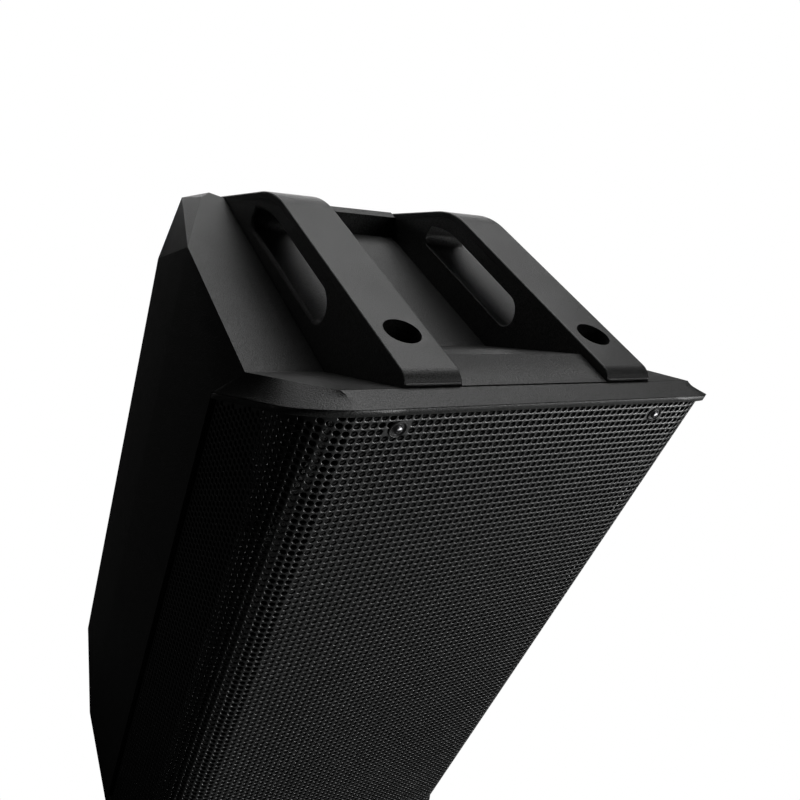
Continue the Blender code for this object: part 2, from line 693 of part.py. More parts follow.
def slab(x, z, half_width, half_height, depths):
    """Block centred on a place of the panel."""
    return block((x - half_width, x + half_width), depths, (z - half_height, z + half_height))


def make_switch(panel, red, plastic):
    """Rocker switch in its frame. The rocker turns about its own origin."""
    cut(panel, slab(SWITCH_X, SWITCH_Z, 0.0100, 0.0140, THROUGH_PANEL), "switch_hole")
    frame = slab(SWITCH_X, SWITCH_Z, 0.0097, 0.0137, (0.3400, 0.3575))
    body = add_object("switch_housing", frame, plastic)
    cut(body, slab(SWITCH_X, SWITCH_Z, 0.0078, 0.0115, (0.3430, 0.3700)), "switch_well")
    side = [(-0.0108, -0.0060), (0.0108, -0.0060), (0.0100, 0.0042), (0.0, 0.0022), (-0.0100, 0.0042)]
    rocker = prism([(-0.0073, d, h) for h, d in side], [(0.0073, d, h) for h, d in side])
    made = add_object("power_switch", rocker, red)
    made.location = low(SWITCH_X, PANEL_REAR, SWITCH_Z)


def make_inlet(panel, plastic):
    cut(panel, slab(INLET_X, INLET_Z, 0.0140, 0.0105, THROUGH_PANEL), "inlet_hole")
    frame = slab(INLET_X, INLET_Z, 0.0137, 0.0102, (0.3360, 0.3575))
    body = add_object("mains_inlet", frame, plastic)
    cut(body, slab(INLET_X, INLET_Z, 0.0115, 0.0080, THROUGH_PANEL), "inlet_well")


def make_heatsink(material):
    """Finned plate below the controls."""
    base = PANEL_REAR + GAP
    tip = base + 0.0140
    root = base + 0.0035
    fin_count = 15
    half = 0.098
    pitch = 2 * half / fin_count
    fin = pitch * 0.42
    plan = [(-half, base), (half, base)]
    for index in range(fin_count - 1):
        right = half - index * pitch
        plan += [(right, tip), (right - fin, tip), (right - fin, root), (right - pitch, root)]
    plan += [(-half + pitch, tip), (-half, tip)]
    lowest = AMP_Z - 0.140
    highest = AMP_Z + 0.015
    made = prism([low(x, d, lowest) for x, d in plan], [low(x, d, highest) for x, d in plan])
    add_object("heatsink", made, material, 0)


def make_electronics(board, metal):
    """Tray behind the panel with the amplifier board, the supply board and a ring transformer."""
    half = 0.105
    thick = 0.0015
    front = 0.270
    rear = PANEL_FRONT - 0.018
    half_height = 0.150
    plan = [(-half, rear), (-half, front), (half, front), (half, rear), (half - thick, rear),
            (half - thick, front + thick), (-half + thick, front + thick), (-half + thick, rear)]
    tray = prism([low(x, d, AMP_Z - half_height) for x, d in plan],
                 [low(x, d, AMP_Z + half_height) for x, d in plan])
    add_object("amp_chassis", tray, metal, 0)
    for name, heights in (("amplifier_board", (AMP_Z + 0.005, AMP_Z + 0.140)),
                          ("power_supply_board", (AMP_Z - 0.140, AMP_Z - 0.005))):
        add_object(name, block((-BOARD_HALF, BOARD_HALF), BOARD_DEPTHS, heights), board, 0)
    ring = arc((0.030, 0.2965), 0.0133, 0, 324, 9)
    add_object("ring_transformer", turned(ring, low(0.045, 0, AMP_Z - 0.075), "Y", 20), metal)


def make_brace(material):
    half = INSIDE_HALF - 0.001
    brace = add_object("inner_brace", block((-half, half), (0.0390, 0.1980), BRACE_Z), material)
    hole = rod(0.050, -0.05, 0.05, low(0, 0.125, BRACE_Z[0]), "Z", 20)
    cut(brace, hole, "brace_hole")


# Underside

def make_base_fittings(rubber, plastic):
    """Four feet and the cup for a speaker pole, open at the bottom."""
    top = FOOT_HEIGHT - GAP
    foot = [(0.0, 0.0), (0.0140, 0.0), (0.0160, 0.0020), (0.0175, top), (0.0, top)]
    for index, (x, depth) in enumerate(FOOT_PLACES):
        made = turned(foot, low(x, depth, 0), "Z", 20, closed=False)
        add_object("foot_" + str(index + 1), made, rubber)
    cup = [(0.0, POLE_DEPTH), (POLE_RADIUS, POLE_DEPTH), (POLE_RADIUS, 0.0085), (0.0420, 0.0085),
           (0.0420, top), (0.0240, top), (0.0240, POLE_DEPTH + 0.004), (0.0, POLE_DEPTH + 0.004)]
    socket = turned(cup, Vector((0, 0, 0)), "Z", 28, closed=False)
    add_object("pole_socket", socket, plastic)


def build():
    for item in list(bpy.data.objects):
        bpy.data.objects.remove(item)
    shell = make_material("moulded_black", (0.022, 0.022, 0.023), 0.62)
    rim = make_material("rim_black", (0.026, 0.026, 0.027), 0.58)
    grip = make_material("grip_black", (0.030, 0.030, 0.031), 0.50)
    steel = make_material("grille_steel", (0.030, 0.030, 0.031), 0.45, 0.6)
    screw = make_material("screw_steel", (0.11, 0.11, 0.115), 0.30, 1.0)
    foam = make_material("acoustic_foam", (0.004, 0.004, 0.004), 0.95)
    wood = make_material("baffle_board", (0.015, 0.015, 0.015), 0.80)
    rubber = make_material("rubber", (0.012, 0.012, 0.012), 0.75)
    paper = make_material("cone_paper", (0.020, 0.019, 0.018), 0.85)
    cast = make_material("cast_frame", (0.10, 0.10, 0.11), 0.45, 0.9)
    magnet = make_material("ferrite", (0.035, 0.034, 0.036), 0.60)
    copper = make_material("coil_copper", (0.55, 0.22, 0.09), 0.35, 1.0)
    plated = make_material("plated_steel", (0.42, 0.42, 0.43), 0.32, 1.0)
    panel = make_material("panel_black", (0.018, 0.018, 0.019), 0.50)
    aluminium = make_material("black_aluminium", (0.025, 0.025, 0.027), 0.40, 0.8)
    knob = make_material("knob_black", (0.016, 0.016, 0.016), 0.55)
    lens = make_material("signal_red", (0.35, 0.02, 0.015), 0.35)
    board = make_material("circuit_board", (0.02, 0.10, 0.045), 0.50)

    make_cabinet(shell)
    make_rim(rim)
    make_base_rim(rim)
    make_grille(steel)
    make_screws(screw)
    make_foam(foam)
    make_handle(-1, "left", shell, grip, plated)
    make_handle(1, "right", shell, grip, plated)
    make_baffle(wood)
    make_woofer(cast, knob, paper, rubber, magnet, copper)
    make_horn(panel, cast)
    make_amplifier(panel, knob, plated, board, lens, aluminium)
    make_brace(wood)
    make_base_fittings(rubber, knob)


build()
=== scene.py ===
import json
import math

import bmesh
import bpy
import numpy as np
from mathutils import Matrix, Vector


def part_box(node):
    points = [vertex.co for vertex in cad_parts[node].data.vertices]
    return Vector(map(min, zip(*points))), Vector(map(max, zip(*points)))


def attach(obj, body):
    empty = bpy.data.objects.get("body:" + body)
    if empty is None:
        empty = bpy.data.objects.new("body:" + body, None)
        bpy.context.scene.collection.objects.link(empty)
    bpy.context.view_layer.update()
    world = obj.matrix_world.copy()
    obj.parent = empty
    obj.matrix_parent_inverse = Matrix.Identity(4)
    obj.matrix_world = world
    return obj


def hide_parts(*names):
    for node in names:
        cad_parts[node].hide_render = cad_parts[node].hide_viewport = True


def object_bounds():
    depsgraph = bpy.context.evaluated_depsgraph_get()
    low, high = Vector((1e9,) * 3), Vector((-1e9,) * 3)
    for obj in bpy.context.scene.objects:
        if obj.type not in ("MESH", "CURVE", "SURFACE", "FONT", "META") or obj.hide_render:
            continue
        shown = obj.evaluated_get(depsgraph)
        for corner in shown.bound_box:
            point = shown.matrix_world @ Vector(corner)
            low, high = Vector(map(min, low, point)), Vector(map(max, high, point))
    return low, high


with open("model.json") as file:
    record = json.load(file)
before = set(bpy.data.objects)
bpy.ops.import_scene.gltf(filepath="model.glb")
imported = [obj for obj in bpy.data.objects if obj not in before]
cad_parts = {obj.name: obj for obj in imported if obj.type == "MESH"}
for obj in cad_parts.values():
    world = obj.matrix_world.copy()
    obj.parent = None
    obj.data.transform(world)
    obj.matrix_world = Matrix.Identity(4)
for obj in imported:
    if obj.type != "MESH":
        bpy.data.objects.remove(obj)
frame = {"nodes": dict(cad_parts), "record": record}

cad_low, cad_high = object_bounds()
CABINET = "cabinet"

# Reference places, taken from the frame
RIM_OVERHANG = 0.0055
STRAP_ABOVE_SHOULDER = 0.0474
GRILLE_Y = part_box("top_rim")[0].y + RIM_OVERHANG
SHOULDER_Z = cad_high.z - STRAP_ABOVE_SHOULDER

# Grille
HOLE_PITCH = 0.006
HOLE_RADIUS = 0.00232
HOLE_LIP = 0.00042
HOLE_SIDES = 12
SHEET = 0.0015
CORNER = 0.034
GRILLE_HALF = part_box("grille")[1].x
GRILLE_RETURN = 0.120
GRILLE_TOP = 0.0365
SEAM_TOP = 0.0380
SEAM_SLOPE = 0.696
FIRST_ROW = 0.0298
SCREW_CLEARANCE = 0.0072
GRILLE_EDGE = 0.0015
GRILLE_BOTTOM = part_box("grille")[0].z - SHOULDER_Z

# Rim
RIM_BAND = 0.0057
RIM_SKIN = 0.0019
GROOVE = 0.0007
CROWN = (0.160, 0.0155, 0.0400)
CHEEK_END = (0.1879, 0.0850, 0.0003)
SHOULDER_ROOT = (0.1140, 0.1075, -0.0178)

# Handles
HANDLE_INNER = 0.0682
HANDLE_OUTER = 0.1139
HANDLE_FRONT = 0.0170
HANDLE_REAR = 0.3725
GRIP_THICK = 0.0060
NOSE_END = 0.0280
BEND_START = 0.2410
BEND_RADIUS = 0.0950
HANDLE_SLOPE = math.radians(30.4)
GRIP_ROUND = 0.0013
GRIP_GAP = 0.0002
NOSE_RADIUS = 0.0131
HANDLE_FLOOR = -0.0270
BEND_STEPS = 12
RIG_DEPTH = 0.068
RIG_RADIUS = 0.01425
RIG_FLOOR = 0.012
ABOVE_GRIPS = 0.08
SLOT_FRONT = 0.1345
SLOT_TOP = 0.0295
SLOT_BOTTOM = 0.0015
SLOT_CROWN = 0.114
SLOT_CROWN_START = 0.2390
SLOT_REAR = 0.2830
SLOT_REAR_RADIUS = 0.0080
SLOT_MIDDLE = 0.2200
SLOT_SAG = 0.0006
SLOT_LIP = 0.0036


def at(x, depth, height):
    """A point from half-width, depth behind the grille and height above the shoulder edge."""
    return Vector((x, GRILLE_Y + depth, SHOULDER_Z + height))


def seam(depth):
    return SEAM_TOP - SEAM_SLOPE * depth


def arc(centre, radius, start, end, steps):
    points = []
    for step in range(steps + 1):
        angle = math.radians(start + (end - start) * step / steps)
        points.append((centre[0] + radius * math.cos(angle), centre[1] + radius * math.sin(angle)))
    return points


# Node material helpers

class Shader:
    """A Principled material with short calls for its nodes."""

    def __init__(self, name):
        self.material = bpy.data.materials.new(name)
        self.material.use_nodes = True
        self.tree = self.material.node_tree
        self.principled = self.tree.nodes["Principled BSDF"]
        self.coords = self.tree.nodes.new("ShaderNodeTexCoord")

    def put(self, socket, value):
        self.principled.inputs[socket].default_value = value

    def link(self, output, target):
        self.tree.links.new(output, target)

    def noise(self, scale, detail=3.0, rough=0.5, stretch=None):
        """Noise in metres: scale is in cells per metre."""
        node = self.tree.nodes.new("ShaderNodeTexNoise")
        node.inputs["Scale"].default_value = scale
        node.inputs["Detail"].default_value = detail
        node.inputs["Roughness"].default_value = rough
        source = self.coords.outputs["Object"]
        if stretch:
            mapping = self.tree.nodes.new("ShaderNodeMapping")
            mapping.inputs["Scale"].default_value = stretch
            self.link(source, mapping.inputs["Vector"])
            source = mapping.outputs["Vector"]
        self.link(source, node.inputs["Vector"])
        return node.outputs["Fac"]

    def cells(self, scale):
        node = self.tree.nodes.new("ShaderNodeTexVoronoi")
        node.inputs["Scale"].default_value = scale
        self.link(self.coords.outputs["Object"], node.inputs["Vector"])
        return node.outputs["Distance"]

    def remap(self, value, low, high, to_low, to_high):
        node = self.tree.nodes.new("ShaderNodeMapRange")
        for socket, number in zip(("From Min", "From Max", "To Min", "To Max"),
                                  (low, high, to_low, to_high)):
            node.inputs[socket].default_value = number
        self.link(value, node.inputs["Value"])
        return node.outputs["Result"]

    def math(self, operation, first, second):
        node = self.tree.nodes.new("ShaderNodeMath")
        node.operation = operation
        for socket, value in zip(node.inputs, (first, second)):
            if isinstance(value, (int, float)):
                socket.default_value = value
            else:
                self.link(value, socket)
        return node.outputs["Value"]

    def blend(self, factor, first, second):
        node = self.tree.nodes.new("ShaderNodeMix")
        node.data_type = "RGBA"
        self.link(factor, node.inputs["Factor"])
        for label, value in (("A", first), ("B", second)):
            socket = [s for s in node.inputs if s.name == label and s.type == "RGBA"][0]
            if isinstance(value, tuple):
                socket.default_value = (*value, 1.0)
            else:
                self.link(value, socket)
        return [s for s in node.outputs if s.type == "RGBA"][0]

    def edges(self):
        """1 along convex edges, 0 elsewhere."""
        low, high = 0.52, 0.62
        node = self.tree.nodes.new("ShaderNodeNewGeometry")
        return self.remap(node.outputs["Pointiness"], low, high, 0.0, 1.0)

    def colour(self, output):
        self.link(output, self.principled.inputs["Base Color"])

    def roughness(self, output):
        self.link(output, self.principled.inputs["Roughness"])

    def bump(self, layers):
        """Stack of (height output, strength, distance in metres)."""
        last = None
        for height, strength, distance in layers:
            node = self.tree.nodes.new("ShaderNodeBump")
            node.inputs["Strength"].default_value = strength
            node.inputs["Distance"].default_value = distance
            self.link(height, node.inputs["Height"])
            if last is not None:
                self.link(last, node.inputs["Normal"])
            last = node.outputs["Normal"]
        self.link(last, self.principled.inputs["Normal"])


def moulded(name, base, rough, grain, wear=0.35, depth=0.0005):
    """Textured moulded plastic: fine spark grain, cloudy tone and pale rubbed edges."""
    s = Shader(name)
    fine = s.noise(grain, 2.0, 0.6)
    cloud = s.noise(9.0, 4.0, 0.55)
    pale = tuple(min(1.0, c * 1.30) for c in base)
    deep = tuple(c * 0.78 for c in base)
    tone = s.blend(s.remap(cloud, 0.3, 0.7, 0.0, 1.0), deep, pale)
    speck = s.blend(s.remap(fine, 0.35, 0.72, 0.0, 1.0), tone, tuple(c * 1.55 for c in base))
    rubbed = tuple(min(1.0, c * 2.1) for c in base)
    worn = s.math("MULTIPLY", s.edges(), s.remap(s.noise(60.0), 0.35, 0.7, 0.0, wear))
    s.colour(s.blend(worn, speck, rubbed))
    mixed = s.math("ADD", s.math("MULTIPLY", cloud, 0.35), s.math("MULTIPLY", fine, 0.65))
    s.roughness(s.remap(mixed, 0.3, 0.7, rough - 0.11, rough + 0.13))
    s.link(s.remap(fine, 0.38, 0.62, 0.28, 0.76), s.principled.inputs["Specular IOR Level"])
    s.bump([(s.noise(14.0, 2.0), 0.10, 0.0010), (fine, 0.8, depth)])
    return s.material


def painted_metal(name, base, rough, metallic=0.0, grain=1400.0):
    """Powder coat: orange peel and small specks."""
    s = Shader(name)
    peel = s.noise(grain, 2.0)
    cloud = s.noise(18.0, 3.0)
    s.colour(s.blend(s.remap(cloud, 0.3, 0.7, 0.0, 1.0), tuple(c * 0.85 for c in base),
                     tuple(min(1.0, c * 1.2) for c in base)))
    s.roughness(s.remap(peel, 0.3, 0.7, rough - 0.06, rough + 0.08))
    s.put("Metallic", metallic)
    s.bump([(peel, 0.30, 0.00012)])
    return s.material


def brushed(name, base, rough):
    """Metal with fine drawn lines."""
    s = Shader(name)
    stretch = (1.0, 1.0, 12.0)
    lines = s.noise(900.0, 2.0, 0.5, stretch)
    cloud = s.noise(40.0)
    s.colour(s.blend(lines, tuple(c * 0.7 for c in base), tuple(min(1.0, c * 1.15) for c in base)))
    s.roughness(s.remap(cloud, 0.3, 0.7, rough - 0.08, rough + 0.12))
    s.put("Metallic", 1.0)
    s.bump([(lines, 0.2, 0.0001)])
    return s.material


def soft(name, base, rough, scale):
    """Foam, paper, rubber and board: open cells or fibres."""
    s = Shader(name)
    pores = s.cells(scale)
    fibre = s.noise(scale * 0.6, 4.0, 0.65)
    s.colour(s.blend(s.remap(fibre, 0.3, 0.7, 0.0, 1.0), tuple(c * 0.6 for c in base),
                     tuple(min(1.0, c * 1.5) for c in base)))
    s.roughness(s.remap(pores, 0.0, 0.6, rough - 0.05, min(1.0, rough + 0.05)))
    s.bump([(pores, 0.6, 0.0004), (fibre, 0.4, 0.0003)])
    return s.material


def make_materials():
    return {
        "housing": moulded("moulded housing", (0.0085, 0.0088, 0.0085), 0.47, 900.0),
        "rim": moulded("moulded rim", (0.0090, 0.0093, 0.0090), 0.47, 900.0),
        "grip": moulded("satin grip", (0.0110, 0.0113, 0.0110), 0.45, 1100.0, 0.2, 0.00030),
        "grille": painted_metal("powder coated grille", (0.015, 0.0155, 0.0155), 0.33, 0.0, 1800.0),
        "screws": brushed("blackened screw", (0.22, 0.22, 0.225), 0.30),
        # Light grey lip colour: a painted highlight that stands in for the bright line of light along the
        # foot of each grip's nose.
        "lip": painted_metal("painted highlight grip lip", (0.16, 0.16, 0.16), 0.28),
        "cup": painted_metal("black cup washer", (0.020, 0.020, 0.020), 0.35),
        "foam": soft("acoustic foam", (0.0035, 0.0035, 0.0035), 0.93, 1500.0),
        "baffle": painted_metal("painted baffle board", (0.012, 0.012, 0.012), 0.75, 0.0, 500.0),
        "rubber": soft("rubber", (0.014, 0.014, 0.014), 0.75, 900.0),
        "cone": soft("cone paper", (0.022, 0.021, 0.020), 0.85, 700.0),
        "cast_metal": painted_metal("cast frame", (0.09, 0.09, 0.095), 0.5, 0.6, 700.0),
        "magnet": painted_metal("ferrite", (0.035, 0.034, 0.036), 0.60, 0.0, 900.0),
        "coil": brushed("coil copper", (0.60, 0.26, 0.11), 0.3),
        "panel": painted_metal("panel coat", (0.018, 0.018, 0.019), 0.42, 0.0, 1600.0),
        "heatsink": painted_metal("black anodised", (0.022, 0.022, 0.024), 0.38, 0.6, 900.0),
        "board": painted_metal("solder mask", (0.02, 0.10, 0.045), 0.4, 0.0, 600.0),
        "plated": brushed("zinc plate", (0.42, 0.42, 0.43), 0.32),
        "signal": painted_metal("signal red", (0.35, 0.02, 0.015), 0.3, 0.0, 900.0),
        "controls": moulded("control plastic", (0.018, 0.018, 0.018), 0.48, 1900.0),
        "marks": painted_metal("printed marks", (0.55, 0.55, 0.55), 0.5, 0.0, 1500.0),
    }


MATERIALS = make_materials()


def dress_cad_nodes():
    """Give each CAD node the material of its slot."""
    slots = {entry["node"]: entry["material_slot"] for entry in frame["record"]["subparts"]}
    for name, node in frame["nodes"].items():
        node.data.materials.clear()
        node.data.materials.append(MATERIALS[slots[name]])


# Pieces

def piece(name, bm, material, nodes=(), body=CABINET, angle=35.0, weighted=True):
    """Make an object from a bmesh, ride it on its body and let it stand for its CAD nodes."""
    bmesh.ops.recalc_face_normals(bm, faces=bm.faces)
    mesh = bpy.data.meshes.new(name)
    bm.to_mesh(mesh)
    bm.free()
    made = bpy.data.objects.new(name, mesh)
    bpy.context.scene.collection.objects.link(made)
    mesh.materials.append(MATERIALS[material])
    mesh.shade_smooth()
    if angle:
        mesh.set_sharp_from_angle(angle=math.radians(angle))
    if weighted:
        normals = made.modifiers.new("face weight", "WEIGHTED_NORMAL")
        normals.keep_sharp = True
        normals.weight = 80
    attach(made, body)
    if nodes:
        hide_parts(*nodes)
    return made


def clean_copy(node):
    """The CAD node's solid with its flat faces whole again."""
    bm = bmesh.new()
    bm.from_mesh(frame["nodes"][node].data)
    bmesh.ops.remove_doubles(bm, verts=bm.verts, dist=0.00002)
    bmesh.ops.dissolve_limit(bm, angle_limit=math.radians(0.6), verts=bm.verts, edges=bm.edges)
    bmesh.ops.recalc_face_normals(bm, faces=bm.faces)
    return bm


def round_edges(bm, width, segments, test, least=20.0):
    """Round the edges that test() accepts and whose faces meet at more than least degrees."""
    chosen = []
    for edge in bm.edges:
        if len(edge.link_faces) == 2 and edge.calc_face_angle(0.0) > math.radians(least) and test(edge):
            chosen.append(edge)
    bmesh.ops.bevel(bm, geom=chosen, offset=width, offset_type="OFFSET", segments=segments,
                    profile=0.5, affect="EDGES", clamp_overlap=True)


def turned(profile, centre, axis, steps, closed=True, bm=None):
    """Solid of revolution added to bm. Profile points are (radius, distance along the axis)."""
    bm = bm or bmesh.new()
    old = set(bm.verts)
    rings = []
    for radius, along in profile:
        count = 1 if radius == 0.0 else steps
        ring = []
        for step in range(count):
            angle = 2 * math.pi * step / steps
            ring.append(bm.verts.new((radius * math.cos(angle), radius * math.sin(angle), along)))
        rings.append(ring)
    pairs = list(zip(rings, rings[1:]))
    if closed:
        pairs.append((rings[-1], rings[0]))
    for first, second in pairs:
        for step in range(steps):
            following = (step + 1) % steps
            corners = [first[step % len(first)], first[following % len(first)],
                       second[following % len(second)], second[step % len(second)]]
            bm.faces.new(list(dict.fromkeys(corners)))
    new = [v for v in bm.verts if v not in old]
    if axis == "Y":
        bmesh.ops.rotate(bm, verts=new, matrix=Matrix.Rotation(math.radians(-90), 3, "X"))
    bmesh.ops.translate(bm, verts=new, vec=centre)
    return bm


# Cabinet

def make_housing():
    bm = clean_copy("cabinet_housing")

    def outside(edge):
        middle = (edge.verts[0].co + edge.verts[1].co) / 2
        depth = middle.y - GRILLE_Y
        height = middle.z - SHOULDER_Z
        wall = abs(middle.x) > 0.153 and depth > 0.122
        top = height > -0.030 and depth > 0.112
        return wall or top

    round_edges(bm, 0.0016, 3, outside, 9.0)
    piece("cabinet_shell", bm, "housing", ["cabinet_housing"], angle=40.0)


def rim_rows():
    """Foot, crease, seam and hem lines of the rim, from the middle to the end of the cheek."""
    outline = [(0.015 * i, -RIM_OVERHANG) for i in range(10)]
    outline += arc((0.149, 0.034), 0.0395, -90, -3, 26)
    straight = 14
    for step in range(1, straight + 1):
        share = step / straight
        outline.append((0.1884 + 0.0006 * share, 0.0319 + (0.1243 - 0.0319) * share))
    seam_line = [Vector((x, d, seam(d))) for x, d in outline]
    groove = []
    for index, point in enumerate(seam_line):
        before = outline[max(index - 1, 0)]
        after = outline[min(index + 1, len(outline) - 1)]
        along = (Vector(after) - Vector(before)).normalized()
        groove.append(point + Vector((-along.y, along.x, -0.6)) * GROOVE)
    lip = [point - Vector((0, 0, 1.3 * GROOVE)) for point in seam_line]
    hem = [point - Vector((0, 0, RIM_BAND)) for point in seam_line]
    crown_at = 11
    handle_at = 8
    crown = Vector(CROWN)
    cheek_end = Vector(CHEEK_END)
    root = Vector(SHOULDER_ROOT)
    beyond = len(outline) - 1 - crown_at
    crease = []
    foot = []
    for index in range(len(outline)):
        if index <= crown_at:
            point = Vector((CROWN[0] * index / crown_at, CROWN[1], CROWN[2]))
            below = point - Vector((0, 0, 0.0040))
            if index >= handle_at:
                share = (point.x - root.x) / (cheek_end.x - root.x)
                below = root.lerp(cheek_end, share)
        else:
            share = ((index - crown_at) / beyond) ** 1.25
            point = crown.lerp(cheek_end, share)
            reach = (CROWN[0] - root.x) / (cheek_end.x - root.x)
            below = root.lerp(cheek_end, reach + (1 - reach) * share)
            below.x = min(below.x, point.x - 0.0006 * (1 - share))
        crease.append(point)
        foot.append(below)
    return foot, crease, seam_line, groove, lip, hem


def make_rim():
    """Ledge, cheeks and front band round the grille, with the slope down to the shoulders."""
    foot, crease, seam_line, groove, lip, hem = rim_rows()
    rows = [foot, crease]
    for share in (0.25, 0.5, 0.75):
        rows.append([p.lerp(q, share) for p, q in zip(crease, seam_line)])
    rows += [seam_line, groove, lip, hem]
    bm = bmesh.new()
    grid = []
    for row in rows:
        full = [Vector((-p.x, p.y, p.z)) for p in reversed(row[1:])] + list(row)
        grid.append([bm.verts.new(at(*point)) for point in full])
    for upper, lower in zip(grid, grid[1:]):
        for index in range(len(upper) - 1):
            bm.faces.new((upper[index], lower[index], lower[index + 1], upper[index + 1]))
    line = grid[-2]
    seam_edges = [bm.edges.get(pair) for pair in zip(line, line[1:])]
    bmesh.ops.bevel(bm, geom=seam_edges, offset=0.0004, offset_type="OFFSET", segments=3, profile=0.5,
                    affect="EDGES", clamp_overlap=True)
    bmesh.ops.remove_doubles(bm, verts=bm.verts, dist=0.00003)
    made = piece("top_rim_moulding", bm, "rim", ["top_rim"], angle=22.0, weighted=False)
    skin = made.modifiers.new("skin", "SOLIDIFY")
    skin.thickness = RIM_SKIN
    skin.offset = -1.0


def make_base_rim():
    bm = clean_copy("base_rim")
    round_edges(bm, 0.0012, 3, lambda edge: True, 30.0)
    piece("base_rim_moulding", bm, "rim", ["base_rim"])


# Handles

def top_line(inset):
    """Side line of the grip's bend and rear slope, moved inwards by inset."""
    centre = STRAP_ABOVE_SHOULDER - BEND_RADIUS
    reach = BEND_RADIUS - inset
    points = []
    for step in range(BEND_STEPS + 1):
        angle = HANDLE_SLOPE * step / BEND_STEPS
        points.append((BEND_START + reach * math.sin(angle), centre + reach * math.cos(angle)))
    last = points[-1]
    points.append((HANDLE_REAR, last[1] - (HANDLE_REAR - last[0]) * math.tan(HANDLE_SLOPE)))
    return points


def grip_section():
    """Across the grip: (x, drop below the top)."""
    round_steps = 6
    points = [(HANDLE_INNER, GRIP_THICK), (HANDLE_INNER, GRIP_ROUND)]
    for step in range(1, round_steps):
        angle = math.radians(90 * step / round_steps)
        points.append((HANDLE_INNER + GRIP_ROUND * (1 - math.cos(angle)),
                       GRIP_ROUND * (1 - math.sin(angle))))
    points.append((HANDLE_INNER + GRIP_ROUND, 0.0))
    mirrored = [(HANDLE_INNER + HANDLE_OUTER - x, drop) for x, drop in reversed(points)]
    return points + mirrored


def make_grip(side, word):
    """Satin cover over the handle: swept section, turned-down nose and a thin pale lip at its foot, painted
    as a highlight along the nose's lower edge.
    """
    bm = bmesh.new()
    foot = STRAP_ABOVE_SHOULDER - GRIP_THICK
    nose = arc((NOSE_END, STRAP_ABOVE_SHOULDER - NOSE_RADIUS), NOSE_RADIUS, 145, 90, 12)
    stations = [(upper, (upper[0] + GRIP_GAP, foot)) for upper in nose]
    for depth in (0.05, 0.10, 0.15, 0.20):
        stations.append(((depth, STRAP_ABOVE_SHOULDER), (depth, foot)))
    for upper, lower in zip(top_line(0.0), top_line(GRIP_THICK)):
        stations.append((upper, lower))
    section = grip_section()
    rings = []
    for upper, lower in stations:
        upper = Vector(upper)
        lower = Vector(lower)
        thick = (upper - lower).length
        down = (lower - upper).normalized()
        ring = []
        for x, drop in section:
            place = upper + down * (drop * thick / GRIP_THICK)
            ring.append(bm.verts.new(at(side * x, place.x, place.y)))
        rings.append(ring)
    size = len(section)
    for first, second in zip(rings, rings[1:]):
        for index in range(size):
            following = (index + 1) % size
            bm.faces.new((first[index], first[following], second[following], second[index]))
    bm.faces.new(rings[0])
    bm.faces.new(rings[-1][::-1])
    centre = at(side * (HANDLE_INNER + HANDLE_OUTER) / 2, RIG_DEPTH, 0.0)
    made = piece("grip_cover_skin_" + word, bm, "grip", ["grip_cover_" + word])
    hole = [(0.0, 0.0), (RIG_RADIUS, 0.0), (RIG_RADIUS, ABOVE_GRIPS), (0.0, ABOVE_GRIPS)]
    cut_out(made, turned(hole, centre, "Z", 64, False), "rig_" + word)
    # Thin light grey rod under the nose: a painted highlight that stands in for the bright line of light
    # along the nose's lower edge.
    lip = bmesh.new()
    highlight_lip_plan = arc((0.0172, foot + 0.0003), 0.0008, 0, 315, 7)
    ends = []
    for x in (HANDLE_INNER + 0.0012, HANDLE_OUTER - 0.0012):
        ends.append([lip.verts.new(at(side * x, d, h)) for d, h in highlight_lip_plan])
    lip.faces.new(ends[0])
    lip.faces.new(ends[1][::-1])
    for index in range(len(highlight_lip_plan)):
        following = (index + 1) % len(highlight_lip_plan)
        lip.faces.new((ends[0][index], ends[0][following], ends[1][following], ends[1][index]))
    piece("grip_highlight_lip_" + word, lip, "lip")


def bake_modifiers(target):
    """Replace an object's mesh by its evaluated one and drop its modifiers."""
    bpy.context.view_layer.update()
    graph = bpy.context.evaluated_depsgraph_get()
    mesh = bpy.data.meshes.new_from_object(target.evaluated_get(graph), depsgraph=graph)
    target.modifiers.clear()
    target.data = mesh


def slot_outline():
    """Side outline of the hand slot inside its rounded lips."""
    radius = (SLOT_TOP - SLOT_BOTTOM) / 2
    front = arc((SLOT_FRONT + radius, SLOT_BOTTOM + radius), radius, 90, 270, 28)
    rear_low = arc((SLOT_REAR, SLOT_BOTTOM + 0.0060), SLOT_REAR_RADIUS, -90, 30, 14)
    rear_top = arc((SLOT_CROWN_START, SLOT_TOP - SLOT_CROWN), SLOT_CROWN, 64, 90, 14)
    return front + [(SLOT_MIDDLE, SLOT_BOTTOM - SLOT_SAG)] + rear_low + rear_top


def prism(bottom, top):
    bm = bmesh.new()
    lower = [bm.verts.new(point) for point in bottom]
    upper = [bm.verts.new(point) for point in top]
    bm.faces.new(lower[::-1])
    bm.faces.new(upper)
    for index in range(len(lower)):
        following = (index + 1) % len(lower)
        bm.faces.new((lower[index], lower[following], upper[following], upper[index]))
    return bm


def plain_object(name, bm):
    """Object made from a bmesh, with no material."""
    mesh = bpy.data.meshes.new(name)
    bm.to_mesh(mesh)
    bm.free()
    made = bpy.data.objects.new(name, mesh)
    bpy.context.scene.collection.objects.link(made)
    return made


def cut_out(target, tool_mesh, label):
    """Cut a tool mesh out of an object."""
    bmesh.ops.recalc_face_normals(tool_mesh, faces=tool_mesh.faces)
    tool = plain_object("tool_" + label, tool_mesh)
    step = target.modifiers.new("cut", "BOOLEAN")
    step.object = tool
    step.solver = "EXACT"
    bake_modifiers(target)
    bpy.data.objects.remove(tool)


def subtract(target, tool_mesh, label):
    """Cut a tool mesh out of a bmesh and return the result as a new bmesh."""
    bmesh.ops.recalc_face_normals(target, faces=target.faces)
    base = plain_object("base_" + label, target)
    cut_out(base, tool_mesh, label)
    result = bmesh.new()
    result.from_mesh(base.data)
    bpy.data.objects.remove(base)
    return result


